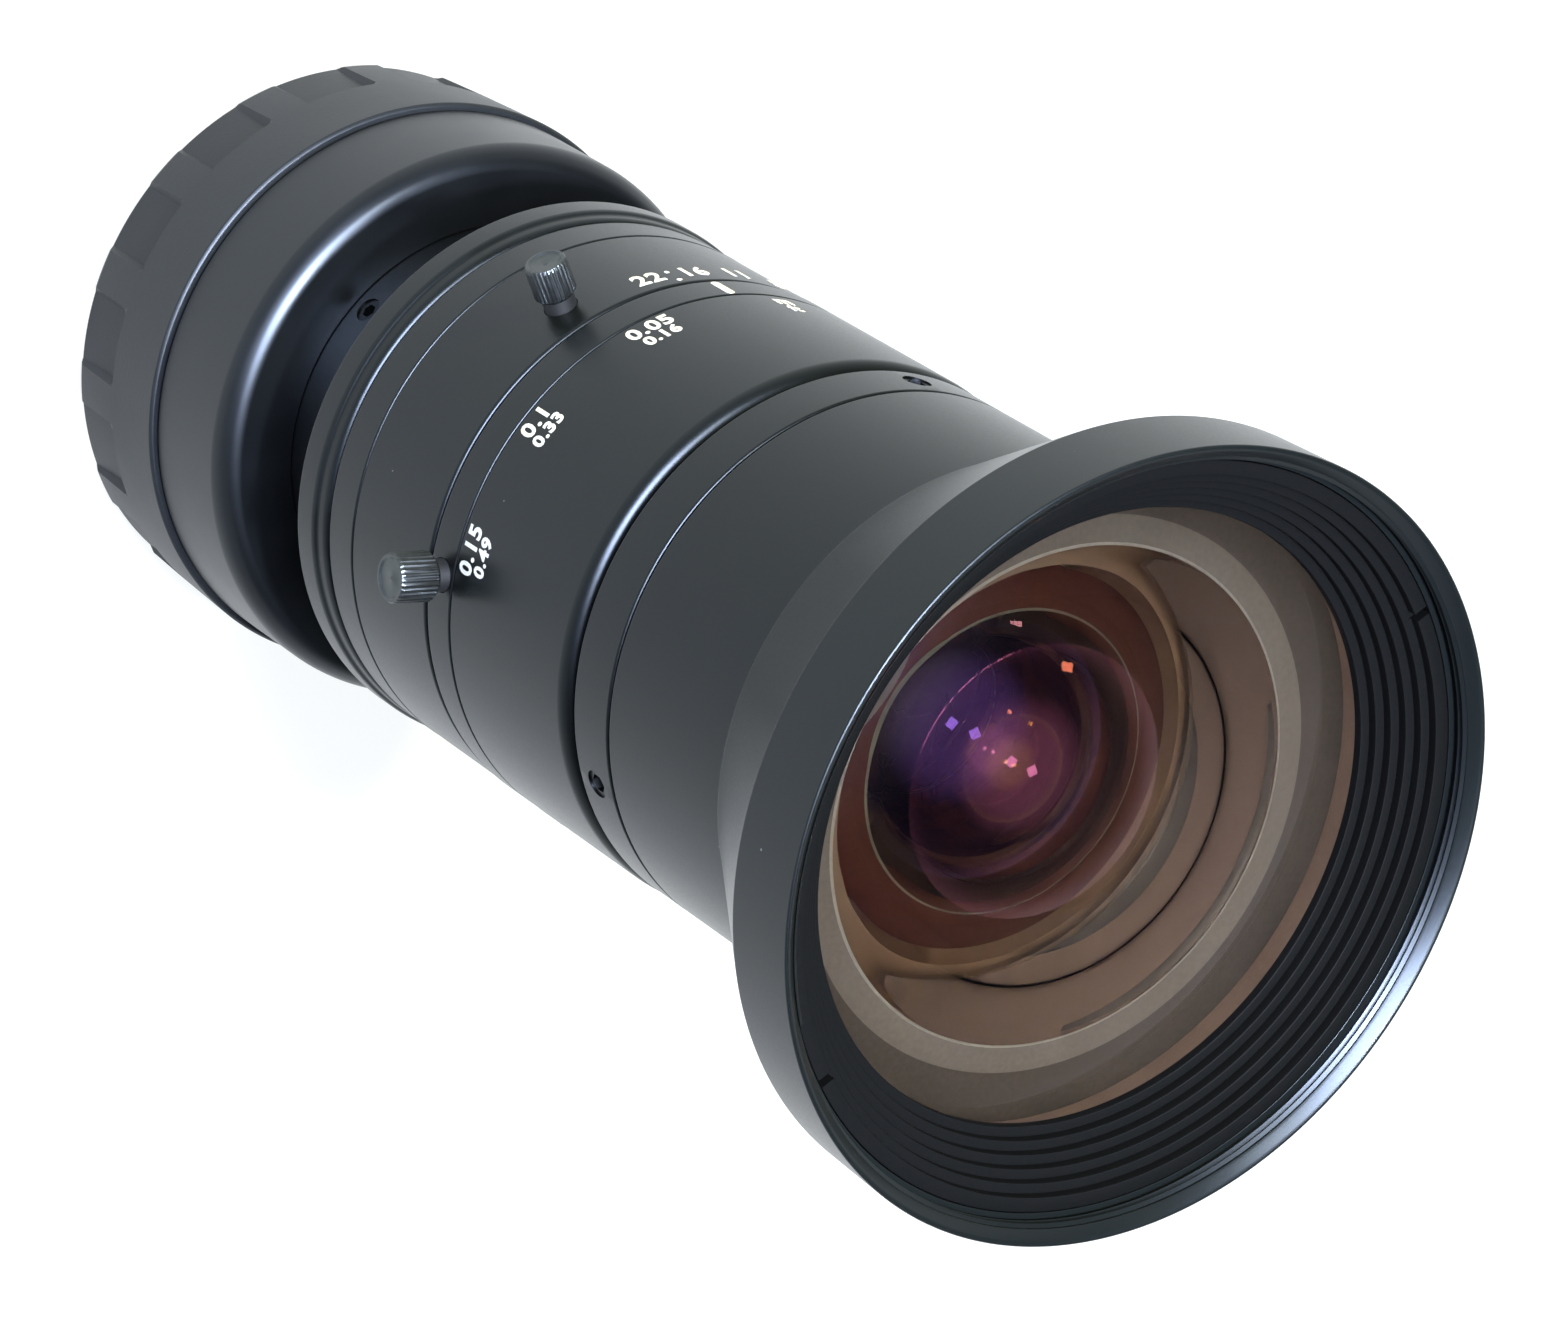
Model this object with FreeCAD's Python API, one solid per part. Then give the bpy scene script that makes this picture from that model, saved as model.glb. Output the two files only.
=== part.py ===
import FreeCAD, Part
import math
import os

from FreeCAD import Rotation, Vector

# Machine vision lens with a screw mount, standing on its rear dust cap.
# Millimetres. Z is the optical axis, with the front glass up. The index mark faces -Y.
# Angles round the lens are counted from the index mark, counter-clockwise seen from the front.
# All pieces are at rest: iris near its closed end, focus at its nearest distance.

# Clearances shared by the fits
running_gap = 0.05
fixed_gap = 0.02
seam_gap = 0.12
edge_break = 0.15

# Dust cap on the rear
cap_height = 9.05
cap_radius = 16.0
cap_rear_radius = 15.6
cap_rear_round = 0.5
cap_floor = 1.5
cap_bore_radius = 13.5
cap_seam = 0.15
cap_lip_gap = 0.05
cap_lip_thickness = 0.2
grip_count = 15
grip_angle = 14.0
grip_depth = 0.2
grip_length = 4.3
grip_first_angle = -11.4

# Mount ring with the rear thread
thread_radius = 12.7
thread_length = 3.9
thread_relief_width = 0.5
thread_relief_depth = 0.6
thread_lead_in = 0.35
mount_bore_radius = 10.9
band_radius = 15.65
band_length = 7.2
band_chamfer = 0.55
flange_thickness = 1.7

# Main barrel: neck, rear lip and the tube that the rings turn on
neck_radius = 11.5
neck_length = 6.45
neck_bore_radius = 10.4
lip_radius = 14.85
lip_length = 1.9
stop_ring_radius = 14.65
stop_ring_length = 0.9
tube_radius = 13.4
front_tube_radius = 12.3
tube_bore_radius = 11.65
tube_step_inset = 2.55
front_tube_length = 6.8
iris_shoulder_inset = 3.35

# Iris ring, index ring and focus ring
iris_ring_gap = 0.25
iris_ring_length = 9.85
iris_ring_radius = 14.65
iris_ring_rear_radius = 14.5
iris_ring_rear_length = 2.5
iris_ring_round = 0.35
index_gap = 0.25
index_ring_length = 2.15
index_ring_radius = 14.7
index_web = 0.6
focus_gap = 0.1
focus_ring_length = 11.05
focus_ring_radius = 14.7
skirt_radius = 14.0
skirt_length = 1.55
focus_travel_gap = 0.6

# Front group: clamp ring, helicoid sleeve and front barrel
clamp_ring_length = 3.1
clamp_ring_radius = 14.6
sleeve_end_gap = 0.7
sleeve_socket_depth = 2.88
barrel_radius = 14.6
barrel_straight = 9.8
cone_length = 9.65
rim_radius = 20.0
rim_front_radius = 20.15
rim_length = 4.63
rim_mouth_radius = 19.95
rim_mouth_drop = 0.3
filter_thread_depth = 0.2
filter_relief_width = 0.15
filter_relief_depth = 0.25
filter_radius = 19.25
filter_depth = 1.1
web_thickness = 0.8

# Lock screws: small knurled thumbscrews
lock_shank_radius = 0.85
iris_lock_head_radius = 1.12
iris_lock_head_height = 2.05
focus_lock_head_radius = 1.3
focus_lock_head_height = 2.3
lock_head_lift = 0.7
lock_head_chamfer = 0.2
lock_tip_gap = 0.06
knurl_count = 20
knurl_depth = 0.1
iris_lock_angle = 28.6
iris_lock_from_front = 2.55
focus_lock_angle = 88.5

# Set screws with a hexagon socket
set_screw_radius = 1.0
set_screw_sink = 0.12
socket_flats = 0.9
socket_depth = 0.6
clamp_screw_first_angle = -8.6
neck_screw_radius = 0.7
neck_screw_socket_flats = 0.7
neck_screw_first_angle = 48.4
neck_screw_inset = 1.2
screws_per_ring = 3

# Key, snap ring and iris drive screw
key_angle = 200.0
key_width = 1.6
key_height = 2.4
key_inset = 1.9
key_slot_spare = 1.6
snap_thickness = 0.4
snap_depth = 0.45
snap_opening_angle = 30.0
drive_angle = 180.0
drive_radius = 0.6
drive_head_radius = 1.0
drive_head_sink = 0.1
iris_turn_open = 60.0
iris_turn_closed = 10.0

# Iris mechanism
blade_count = 6
blade_inner_radius = 5.0
blade_outer_radius = 7.6
blade_start_angle = -15.0
blade_end_angle = 135.0
blade_thickness = 0.12
blade_pitch = 0.18
blade_rest_turn = 26.0
blade_turn_per_ring_turn = 0.4
pivot_radius = 9.0
pivot_pin_radius = 0.35
pivot_tab_radius = 0.75
cam_arm_length = 3.2
cam_pin_radius = 0.3
cam_pin_tab_radius = 0.6
base_plate_thickness = 0.7
base_plate_opening = 5.4
blade_clearance = 0.1
cam_ring_inner_radius = 6.6
cam_ring_thickness = 1.6
cam_pin_depth = 0.8
cam_end_gap = 0.15
iris_retainer_thickness = 0.75
iris_retainer_opening = 7.6

# Front element and its stepped retaining ring
front_glass_edge_radius = 16.2
front_glass_clear_radius = 16.06
front_glass_edge = 4.4
front_glass_curve = 62.0
front_glass_hollow_radius = 12.05
front_glass_hollow_curve = 17.0
front_seat_width = 1.85
glass_pocket_gap = 0.05
ring_face_radius = 18.1
ring_outer_gap = 0.05
ring_step_count = 5
ring_step_drop = 0.28
ring_throat_depth = 0.9
ring_height = 2.3
ring_pocket_ledge = 0.25
spanner_slot_angle = 123.0
spanner_slot_width = 0.45
spanner_slot_depth = 0.6

# Second and third elements in the front barrel
second_edge_radius = 12.6
second_edge = 3.3
second_curve = 26.0
second_hollow_radius = 8.6
second_hollow_curve = 10.2
second_ring_height = 1.8
second_ring_opening = 11.5
spacer_gap = 0.3
third_edge_radius = 10.0
third_edge = 2.6
third_curve = 14.0
third_rear_curve = 60.0
third_ring_height = 1.3
third_ring_opening = 9.0
third_seat_radius = 8.4

# Fixed middle cell with the fourth element
middle_cell_length = 11.5
middle_cell_opening = 7.6
fourth_edge_radius = 9.4
fourth_seat_depth = 6.2
fourth_edge = 2.2
fourth_curve = 24.0
fourth_ring_height = 1.6
fourth_ring_opening = 8.4

# Rear cell with the fifth, sixth and seventh elements
rear_cell_sink = 0.3
rear_cell_front_gap = 0.8
rear_cell_bore = 8.9
rear_cell_front_bore = 8.3
rear_stop_inset = 10.8
rear_stop_length = 1.6
rear_stop_opening = 7.0
fifth_edge = 1.6
fifth_curve = 24.0
fifth_flint_edge = 2.6
fifth_cement_curve = 18.0
fifth_rear_curve = 80.0
fifth_ring_height = 1.4
sixth_edge = 1.8
sixth_curve = 30.0
rear_spacer_length = 3.2
seventh_edge = 2.0
seventh_curve = 20.0
seventh_front_curve = 45.0
rear_element_opening = 7.7
rear_ring_height = 1.5
rear_ring_slot_width = 1.0
rear_ring_slot_depth = 0.7

# Heights along the axis, from the cap's rear face
flange_height = cap_height + cap_seam
band_front_height = flange_height + band_length
neck_front_height = band_front_height + neck_length
lip_front_height = neck_front_height + lip_length
stop_front_height = lip_front_height + stop_ring_length
iris_ring_rear = stop_front_height + iris_ring_gap
iris_ring_front = iris_ring_rear + iris_ring_length
index_rear = iris_ring_front + index_gap
index_front = index_rear + index_ring_length
focus_rear = index_front + focus_gap
focus_front = focus_rear + focus_ring_length
tube_step_height = focus_rear + tube_step_inset
tube_front_height = tube_step_height + front_tube_length
snap_height = (focus_rear + tube_step_height - snap_thickness) / 2
sleeve_rear_height = tube_step_height + sleeve_end_gap
key_rear_height = sleeve_rear_height + key_inset
key_slot_end = key_rear_height + key_height + key_slot_spare
iris_shoulder_height = stop_front_height + iris_shoulder_inset
neck_screw_height = band_front_height + neck_screw_inset
clamp_rear = focus_front + focus_travel_gap
clamp_front = clamp_rear + clamp_ring_length
barrel_rear = clamp_front + seam_gap
cone_rear = barrel_rear + barrel_straight
cone_front = cone_rear + cone_length
rim_front = cone_front + rim_length
thread_rear = flange_height - thread_length
neck_rear_height = flange_height + flange_thickness

# Heights in the front barrel
mouth_height = rim_front - rim_mouth_drop
ring_front_height = mouth_height - filter_depth
ring_rear_height = ring_front_height - ring_height
front_glass_rear = ring_rear_height - front_glass_edge
sleeve_front_height = barrel_rear + sleeve_socket_depth
third_rear = sleeve_front_height + web_thickness
third_front = third_rear + third_edge
second_rear = third_front + third_ring_height + spacer_gap
second_front = second_rear + second_edge

# Heights in the iris mechanism
base_plate_top = iris_shoulder_height + base_plate_thickness
first_blade_height = base_plate_top + blade_clearance
blades_top = first_blade_height + blade_pitch * (blade_count - 1) + blade_thickness
cam_ring_rear = blades_top + 2 * blade_clearance
cam_ring_front = cam_ring_rear + cam_ring_thickness
retainer_rear = cam_ring_front + cam_end_gap
retainer_front = retainer_rear + iris_retainer_thickness
drive_height = (cam_ring_rear + cam_ring_front) / 2

# Radii that follow from a neighbour
ring_bore_radius = tube_radius + running_gap
cam_ring_radius = tube_bore_radius - running_gap
sleeve_inner_radius = front_tube_radius + running_gap
middle_cell_radius = tube_bore_radius - fixed_gap
rear_cell_radius = neck_bore_radius - running_gap
glass_pocket_radius = front_glass_edge_radius + glass_pocket_gap
ring_pocket_radius = filter_radius - ring_pocket_ledge
ring_outer_radius = ring_pocket_radius - ring_outer_gap

axis_z = Vector(0, 0, 1)
origin = Vector(0, 0, 0)
index_direction = -90.0


def export(name, shapes):
    """Write one piece, or a group of like pieces, under its node name."""
    solids = []
    for shape in shapes:
        solids.extend(shape.Solids)
    body = solids[0] if len(solids) == 1 else Part.makeCompound(solids)
    body.exportStep("parts/" + name + ".step")


def turned(points):
    """Turn a closed outline of (radius, height) points round the optical axis."""
    corners = [Vector(radius, 0, height) for radius, height in points]
    outline = Part.makePolygon(corners + corners[:1])
    return Part.Face(outline).revolve(origin, axis_z, 360)


def tube(inner, outer, rear, front):
    """A plain ring or tube with square ends."""
    return turned([(inner, rear), (outer, rear), (outer, front), (inner, front)])


def broken_tube(inner, outer, rear, front, size):
    """A ring whose two outer edges are chamfered."""
    return turned([
        (inner, rear),
        (outer - size, rear),
        (outer, rear + size),
        (outer, front - size),
        (outer - size, front),
        (inner, front),
    ])


def around(shape, angle):
    """A copy turned to an angle counted from the index mark."""
    copy = shape.copy()
    copy.rotate(origin, axis_z, angle)
    return copy


def placed(angle, radius, height):
    """A point at an angle from the index mark."""
    turn = math.radians(index_direction + angle)
    return Vector(radius * math.cos(turn), radius * math.sin(turn), height)


def radial_rod(radius, inner, outer, angle, height):
    """A round rod that points outwards between two distances from the axis."""
    direction = placed(angle, 1.0, 0)
    return Part.makeCylinder(radius, outer - inner, placed(angle, inner, height), direction)


def radial_prism(points, length):
    """A prism along +X, from an outline of (across, up) points."""
    corners = [Vector(0, across, up) for across, up in points]
    outline = Part.makePolygon(corners + corners[:1])
    return Part.Face(outline).extrude(Vector(length, 0, 0))


def face_outwards(shape, angle, radius, height):
    """Move a shape built along +X to a radial place on the lens."""
    copy = shape.copy()
    copy.rotate(origin, axis_z, index_direction + angle)
    copy.translate(placed(angle, radius, height))
    return copy


def sagitta(curve, half_width):
    """Height of a spherical cap, with the sign of its curve."""
    depth = abs(curve) - math.sqrt(curve * curve - half_width * half_width)
    return math.copysign(depth, curve)


def dome_edge(half_width, height, rise):
    """Arc from the axis to the edge of a spherical surface."""
    curve = (half_width * half_width + rise * rise) / (2 * rise)
    middle = half_width / 2
    middle_rise = rise - sagitta(curve, middle)
    top = Vector(0, 0, height + rise)
    edge = Vector(half_width, 0, height)
    return Part.Arc(top, Vector(middle, 0, height + middle_rise), edge).toShape()


def glass(edge_radius, rear, front, front_half, front_rise, rear_half, rear_rise):
    """A lens element with a cylindrical edge and two spherical faces.

    A positive rise lifts the middle of a face towards the front of the lens.
    """
    rear_arc = dome_edge(rear_half, rear, rear_rise)
    front_arc = dome_edge(front_half, front, front_rise)
    corners = [Vector(rear_half, 0, rear)]
    if rear_half < edge_radius:
        corners.append(Vector(edge_radius, 0, rear))
    corners.append(Vector(edge_radius, 0, front))
    if front_half < edge_radius:
        corners.append(Vector(front_half, 0, front))
    rim = [Part.makeLine(a, b) for a, b in zip(corners, corners[1:])]
    middle = Part.makeLine(Vector(0, 0, front + front_rise), Vector(0, 0, rear + rear_rise))
    outline = Part.Wire(Part.sortEdges([rear_arc, *rim, front_arc, middle])[0])
    return Part.Face(outline).revolve(origin, axis_z, 360)


def hexagon(flats):
    """Corner points of a hexagon of a given width across flats."""
    corner = flats / math.sqrt(3)
    turns = [math.radians(60 * step + 30) for step in range(6)]
    return [(corner * math.cos(turn), corner * math.sin(turn)) for turn in turns]


def set_screw(radius, inner, outer, flats, angle, height):
    """A headless screw with a hexagon socket in its outer end."""
    rod = radial_rod(radius, inner, outer, angle, height)
    socket = radial_prism(hexagon(flats), 2 * socket_depth)
    return rod.cut(face_outwards(socket, angle, outer - socket_depth, height))


def knurled_head(head_radius, head_height):
    """Straight-knurled thumb head along +X, chamfered at both ends."""
    points = []
    for step in range(2 * knurl_count):
        radius = head_radius - (knurl_depth if step % 2 else 0)
        turn = math.radians(step * 180 / knurl_count)
        points.append((radius * math.cos(turn), radius * math.sin(turn)))
    star = radial_prism(points, head_height)
    inset = head_radius - lock_head_chamfer
    far = head_height - lock_head_chamfer
    profile = [
        (0, 0),
        (0, inset),
        (lock_head_chamfer, head_radius),
        (far, head_radius),
        (head_height, inset),
        (head_height, 0),
    ]
    corners = [Vector(along, out, 0) for along, out in profile]
    outline = Part.makePolygon(corners + corners[:1])
    blank = Part.Face(outline).revolve(origin, Vector(1, 0, 0), 360)
    return star.common(blank)


def lock_screw(surface, tip, head_radius, head_height, angle, height):
    """Thumbscrew whose head stands clear of the ring that it goes through, on its plain shank."""
    head_base = surface + lock_head_lift
    head = face_outwards(knurled_head(head_radius, head_height), angle, head_base, height)
    shank = radial_rod(lock_shank_radius, tip, head_base + lock_head_chamfer, angle, height)
    return head.fuse(shank).removeSplitter()


os.makedirs("parts", exist_ok=True)

# Rear dust cap: moulded cup with grip recesses and a lip that snaps behind the thread
cap_slope = (cap_radius - cap_rear_radius) / cap_height
cap_edge_radius = cap_rear_radius + cap_slope * cap_rear_round
cap = turned([
    (0, 0),
    (cap_rear_radius - cap_rear_round, 0),
    (cap_edge_radius - 0.3 * cap_rear_round, 0.3 * cap_rear_round),
    (cap_edge_radius, cap_rear_round),
    (cap_radius, cap_height - edge_break),
    (cap_radius - edge_break, cap_height),
    (thread_radius + cap_lip_gap, cap_height),
    (thread_radius + cap_lip_gap, cap_height - cap_lip_thickness),
    (cap_bore_radius, cap_height - cap_lip_thickness),
    (cap_bore_radius, cap_floor),
    (0, cap_floor),
])
recess_ring = tube(
    cap_rear_radius - grip_depth,
    cap_radius + grip_depth,
    -grip_depth,
    grip_length,
)
recess_wedge = Part.makeCylinder(
    2 * cap_radius, 2 * cap_height, Vector(0, 0, -cap_height), axis_z, grip_angle
)
recess_wedge.rotate(origin, axis_z, index_direction - grip_angle / 2)
recess = recess_ring.common(recess_wedge)
recesses = [
    around(recess, grip_first_angle + step * 360 / grip_count) for step in range(grip_count)
]
cap = cap.cut(Part.makeCompound(recesses))
export("rear_dust_cap", [cap])

# Mount ring: wide band with the camera thread behind its flange face
relief_radius = thread_radius - thread_relief_depth
mount_ring = turned([
    (mount_bore_radius, thread_rear),
    (thread_radius - thread_lead_in, thread_rear),
    (thread_radius, thread_rear + thread_lead_in),
    (thread_radius, flange_height - thread_relief_width),
    (relief_radius, flange_height - thread_relief_width),
    (relief_radius, flange_height),
    (band_radius - edge_break, flange_height),
    (band_radius, flange_height + edge_break),
    (band_radius, band_front_height - band_chamfer),
    (band_radius - band_chamfer, band_front_height),
    (neck_radius + fixed_gap, band_front_height),
    (neck_radius + fixed_gap, neck_rear_height),
    (mount_bore_radius, neck_rear_height),
])
export("mount_ring", [mount_ring])

# Main barrel: one turned piece with the neck, the rear lip and the tube
main_barrel = turned([
    (neck_bore_radius, neck_rear_height + fixed_gap),
    (neck_radius, neck_rear_height + fixed_gap),
    (neck_radius, neck_front_height),
    (lip_radius - edge_break, neck_front_height),
    (lip_radius, neck_front_height + edge_break),
    (lip_radius, lip_front_height - edge_break),
    (stop_ring_radius, lip_front_height),
    (stop_ring_radius, stop_front_height - edge_break),
    (stop_ring_radius - edge_break, stop_front_height),
    (tube_radius, stop_front_height),
    (tube_radius, snap_height),
    (tube_radius - snap_depth, snap_height),
    (tube_radius - snap_depth, snap_height + snap_thickness),
    (tube_radius, snap_height + snap_thickness),
    (tube_radius, tube_step_height),
    (front_tube_radius, tube_step_height),
    (front_tube_radius, tube_front_height),
    (tube_bore_radius, tube_front_height),
    (tube_bore_radius, iris_shoulder_height),
    (neck_bore_radius, iris_shoulder_height),
])
drive_clear_radius = drive_radius + running_gap
drive_sweep = iris_turn_open + iris_turn_closed
slot_ring = tube(
    tube_bore_radius - edge_break,
    tube_radius + edge_break,
    drive_height - drive_clear_radius,
    drive_height + drive_clear_radius,
)
slot_wedge = Part.makeCylinder(
    2 * tube_radius, 2 * rim_front, Vector(0, 0, 0), axis_z, drive_sweep
)
slot_wedge.rotate(origin, axis_z, index_direction + drive_angle - iris_turn_closed)
drive_slot = slot_ring.common(slot_wedge)
slot_ends = [
    radial_rod(
        drive_clear_radius,
        tube_bore_radius - edge_break,
        tube_radius + edge_break,
        drive_angle + turn,
        drive_height,
    )
    for turn in (-iris_turn_closed, iris_turn_open)
]
neck_screw_angles = [
    neck_screw_first_angle + step * 360 / screws_per_ring for step in range(screws_per_ring)
]
neck_holes = [
    radial_rod(
        neck_screw_radius + fixed_gap,
        neck_bore_radius - edge_break,
        neck_radius + edge_break,
        angle,
        neck_screw_height,
    )
    for angle in neck_screw_angles
]
key_screw_radius = key_width / 2
key_screw_height = key_rear_height + key_height / 2
key_pocket = radial_prism(
    [
        (-key_width / 2, -key_height / 2),
        (key_width / 2, -key_height / 2),
        (key_width / 2, key_height / 2),
        (-key_width / 2, key_height / 2),
    ],
    tube_radius - tube_bore_radius,
)
key_seat = face_outwards(key_pocket, key_angle, tube_bore_radius, key_screw_height)
for cutter in [drive_slot, *slot_ends, *neck_holes, key_seat]:
    main_barrel = main_barrel.cut(cutter)
export("main_barrel", [main_barrel])

# Set screws in the neck hold the rear cell
neck_screws = [
    set_screw(
        neck_screw_radius,
        rear_cell_radius + fixed_gap,
        neck_radius - set_screw_sink,
        neck_screw_socket_flats,
        angle,
        neck_screw_height,
    )
    for angle in neck_screw_angles
]
export("neck_set_screws", neck_screws)

# Iris ring: turns on the tube between the stop ring and the index ring
iris_ring = turned([
    (ring_bore_radius, iris_ring_rear),
    (iris_ring_rear_radius - iris_ring_round, iris_ring_rear),
    (iris_ring_rear_radius, iris_ring_rear + iris_ring_round),
    (iris_ring_rear_radius, iris_ring_rear + iris_ring_rear_length),
    (iris_ring_radius, iris_ring_rear + iris_ring_rear_length),
    (iris_ring_radius, iris_ring_front - edge_break),
    (iris_ring_radius - edge_break, iris_ring_front),
    (ring_bore_radius, iris_ring_front),
])
iris_lock_height = iris_ring_front - iris_lock_from_front
iris_lock_hole = radial_rod(
    lock_shank_radius + running_gap,
    tube_radius,
    iris_ring_radius + edge_break,
    iris_lock_angle,
    iris_lock_height,
)
drive_hole = radial_rod(
    drive_radius, tube_radius, iris_ring_radius + edge_break, drive_angle, drive_height
)
drive_sink_radius = iris_ring_radius - 2 * drive_radius / 3
drive_sink = radial_rod(
    drive_head_radius,
    drive_sink_radius,
    iris_ring_radius + edge_break,
    drive_angle,
    drive_height,
)
for cutter in [iris_lock_hole, drive_hole, drive_sink]:
    iris_ring = iris_ring.cut(cutter)
export("iris_ring", [iris_ring])

# Iris drive screw: couples the iris ring to the cam ring through the slot in the tube
drive_pin_inner = cam_ring_radius - 2 * drive_radius
drive_shank = radial_rod(
    drive_radius - fixed_gap, drive_pin_inner, drive_sink_radius, drive_angle, drive_height
)
drive_head = radial_rod(
    drive_head_radius - fixed_gap,
    drive_sink_radius,
    iris_ring_radius - drive_head_sink,
    drive_angle,
    drive_height,
)
export("iris_drive_screw", [drive_shank.fuse(drive_head).removeSplitter()])

# Lock screws for the iris ring and the focus ring
iris_lock = lock_screw(
    iris_ring_radius,
    tube_radius + lock_tip_gap,
    iris_lock_head_radius,
    iris_lock_head_height,
    iris_lock_angle,
    iris_lock_height,
)
export("iris_lock_screw", [iris_lock])
focus_lock_height = (index_rear + index_front) / 2
focus_lock = lock_screw(
    index_ring_radius,
    skirt_radius + lock_tip_gap,
    focus_lock_head_radius,
    focus_lock_head_height,
    focus_lock_angle,
    focus_lock_height,
)
export("focus_lock_screw", [focus_lock])

# Index ring: fixed, with a web on the tube and a sleeve over the focus ring's skirt
index_ring = turned([
    (tube_radius + fixed_gap, index_rear),
    (index_ring_radius - edge_break, index_rear),
    (index_ring_radius, index_rear + edge_break),
    (index_ring_radius, index_front - edge_break),
    (index_ring_radius - edge_break, index_front),
    (skirt_radius + running_gap, index_front),
    (skirt_radius + running_gap, index_rear + index_web),
    (tube_radius + fixed_gap, index_rear + index_web),
])
focus_lock_hole = radial_rod(
    lock_shank_radius + running_gap,
    skirt_radius,
    index_ring_radius + edge_break,
    focus_lock_angle,
    focus_lock_height,
)
export("index_ring", [index_ring.cut(focus_lock_hole)])

# Focus ring: turns on the tube and drives the sleeve
snap_clear = running_gap + snap_depth
focus_ring = turned([
    (ring_bore_radius, focus_rear - skirt_length),
    (skirt_radius, focus_rear - skirt_length),
    (skirt_radius, focus_rear),
    (focus_ring_radius - edge_break, focus_rear),
    (focus_ring_radius, focus_rear + edge_break),
    (focus_ring_radius, focus_front - edge_break),
    (focus_ring_radius - edge_break, focus_front),
    (ring_bore_radius, focus_front),
    (ring_bore_radius, snap_height + snap_thickness + running_gap),
    (ring_bore_radius + snap_clear, snap_height + snap_thickness + running_gap),
    (ring_bore_radius + snap_clear, snap_height - running_gap),
    (ring_bore_radius, snap_height - running_gap),
])
export("focus_ring", [focus_ring])

# Snap ring: an open wire that keeps the focus ring on the tube
snap_blank = tube(
    tube_radius - snap_depth + running_gap,
    tube_radius + snap_depth - running_gap,
    snap_height + fixed_gap,
    snap_height + snap_thickness - fixed_gap,
)
snap_cut = Part.makeCylinder(
    2 * tube_radius, 2 * rim_front, origin, axis_z, snap_opening_angle
)
export("focus_snap_ring", [snap_blank.cut(snap_cut)])

# Key: a block on the tube that lets the sleeve slide but not turn
key_reach = tube_radius - 2 * running_gap - tube_bore_radius
key_outline = [
    (-key_width / 2 + fixed_gap, -key_height / 2 + fixed_gap),
    (key_width / 2 - fixed_gap, -key_height / 2 + fixed_gap),
    (key_width / 2 - fixed_gap, key_height / 2 - fixed_gap),
    (-key_width / 2 + fixed_gap, key_height / 2 - fixed_gap),
]
key_block = radial_prism(key_outline, key_reach - running_gap)
key = face_outwards(key_block, key_angle, tube_bore_radius + running_gap, key_screw_height)
export("focus_key", [key])

# Helicoid sleeve: slides on the tube and carries the front group
sleeve = tube(sleeve_inner_radius, tube_radius, sleeve_rear_height, sleeve_front_height)
key_slot = radial_prism(
    [
        (-key_width / 2 - running_gap, 0),
        (key_width / 2 + running_gap, 0),
        (key_width / 2 + running_gap, key_slot_end - sleeve_rear_height + edge_break),
        (-key_width / 2 - running_gap, key_slot_end - sleeve_rear_height + edge_break),
    ],
    2 * (tube_radius - front_tube_radius),
)
key_slot = face_outwards(key_slot, key_angle, front_tube_radius, sleeve_rear_height - edge_break)
export("helicoid_sleeve", [sleeve.cut(key_slot)])

# Clamp ring: narrow ring on the sleeve, held by set screws
clamp_ring = broken_tube(
    tube_radius + fixed_gap, clamp_ring_radius, clamp_rear, clamp_front, edge_break
)
clamp_screw_height = (clamp_rear + clamp_front) / 2
clamp_screw_angles = [
    clamp_screw_first_angle + step * 360 / screws_per_ring for step in range(screws_per_ring)
]
clamp_holes = [
    radial_rod(
        set_screw_radius + fixed_gap,
        tube_radius - edge_break,
        clamp_ring_radius + edge_break,
        angle,
        clamp_screw_height,
    )
    for angle in clamp_screw_angles
]
export("clamp_ring", [clamp_ring.cut(Part.makeCompound(clamp_holes))])
clamp_screws = [
    set_screw(
        set_screw_radius,
        tube_radius + fixed_gap,
        clamp_ring_radius - set_screw_sink,
        socket_flats,
        angle,
        clamp_screw_height,
    )
    for angle in clamp_screw_angles
]
export("clamp_ring_set_screws", clamp_screws)

# Front barrel: one turned piece with the straight barrel, the cone and the rim
front_seat_radius = glass_pocket_radius - front_seat_width
front_barrel = turned([
    (tube_radius + fixed_gap, barrel_rear),
    (barrel_radius - edge_break, barrel_rear),
    (barrel_radius, barrel_rear + edge_break),
    (barrel_radius, cone_rear),
    (rim_radius, cone_front),
    (rim_front_radius, rim_front - edge_break),
    (rim_front_radius - edge_break, rim_front),
    (rim_mouth_radius, rim_front),
    (filter_radius + filter_thread_depth, mouth_height),
    (filter_radius, mouth_height - filter_thread_depth),
    (filter_radius, ring_front_height + filter_relief_width),
    (filter_radius + filter_relief_depth, ring_front_height + filter_relief_width),
    (filter_radius + filter_relief_depth, ring_front_height),
    (ring_pocket_radius, ring_front_height),
    (ring_pocket_radius, ring_rear_height),
    (glass_pocket_radius, ring_rear_height),
    (glass_pocket_radius, front_glass_rear),
    (front_seat_radius, front_glass_rear),
    (front_seat_radius, second_front + second_ring_height),
    (second_edge_radius + fixed_gap, second_front + second_ring_height),
    (second_edge_radius + fixed_gap, second_rear),
    (third_edge_radius + fixed_gap, second_rear),
    (third_edge_radius + fixed_gap, third_rear),
    (third_seat_radius, third_rear),
    (third_seat_radius, sleeve_front_height + fixed_gap),
    (tube_radius + fixed_gap, sleeve_front_height + fixed_gap),
])
export("front_barrel", [front_barrel])

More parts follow.
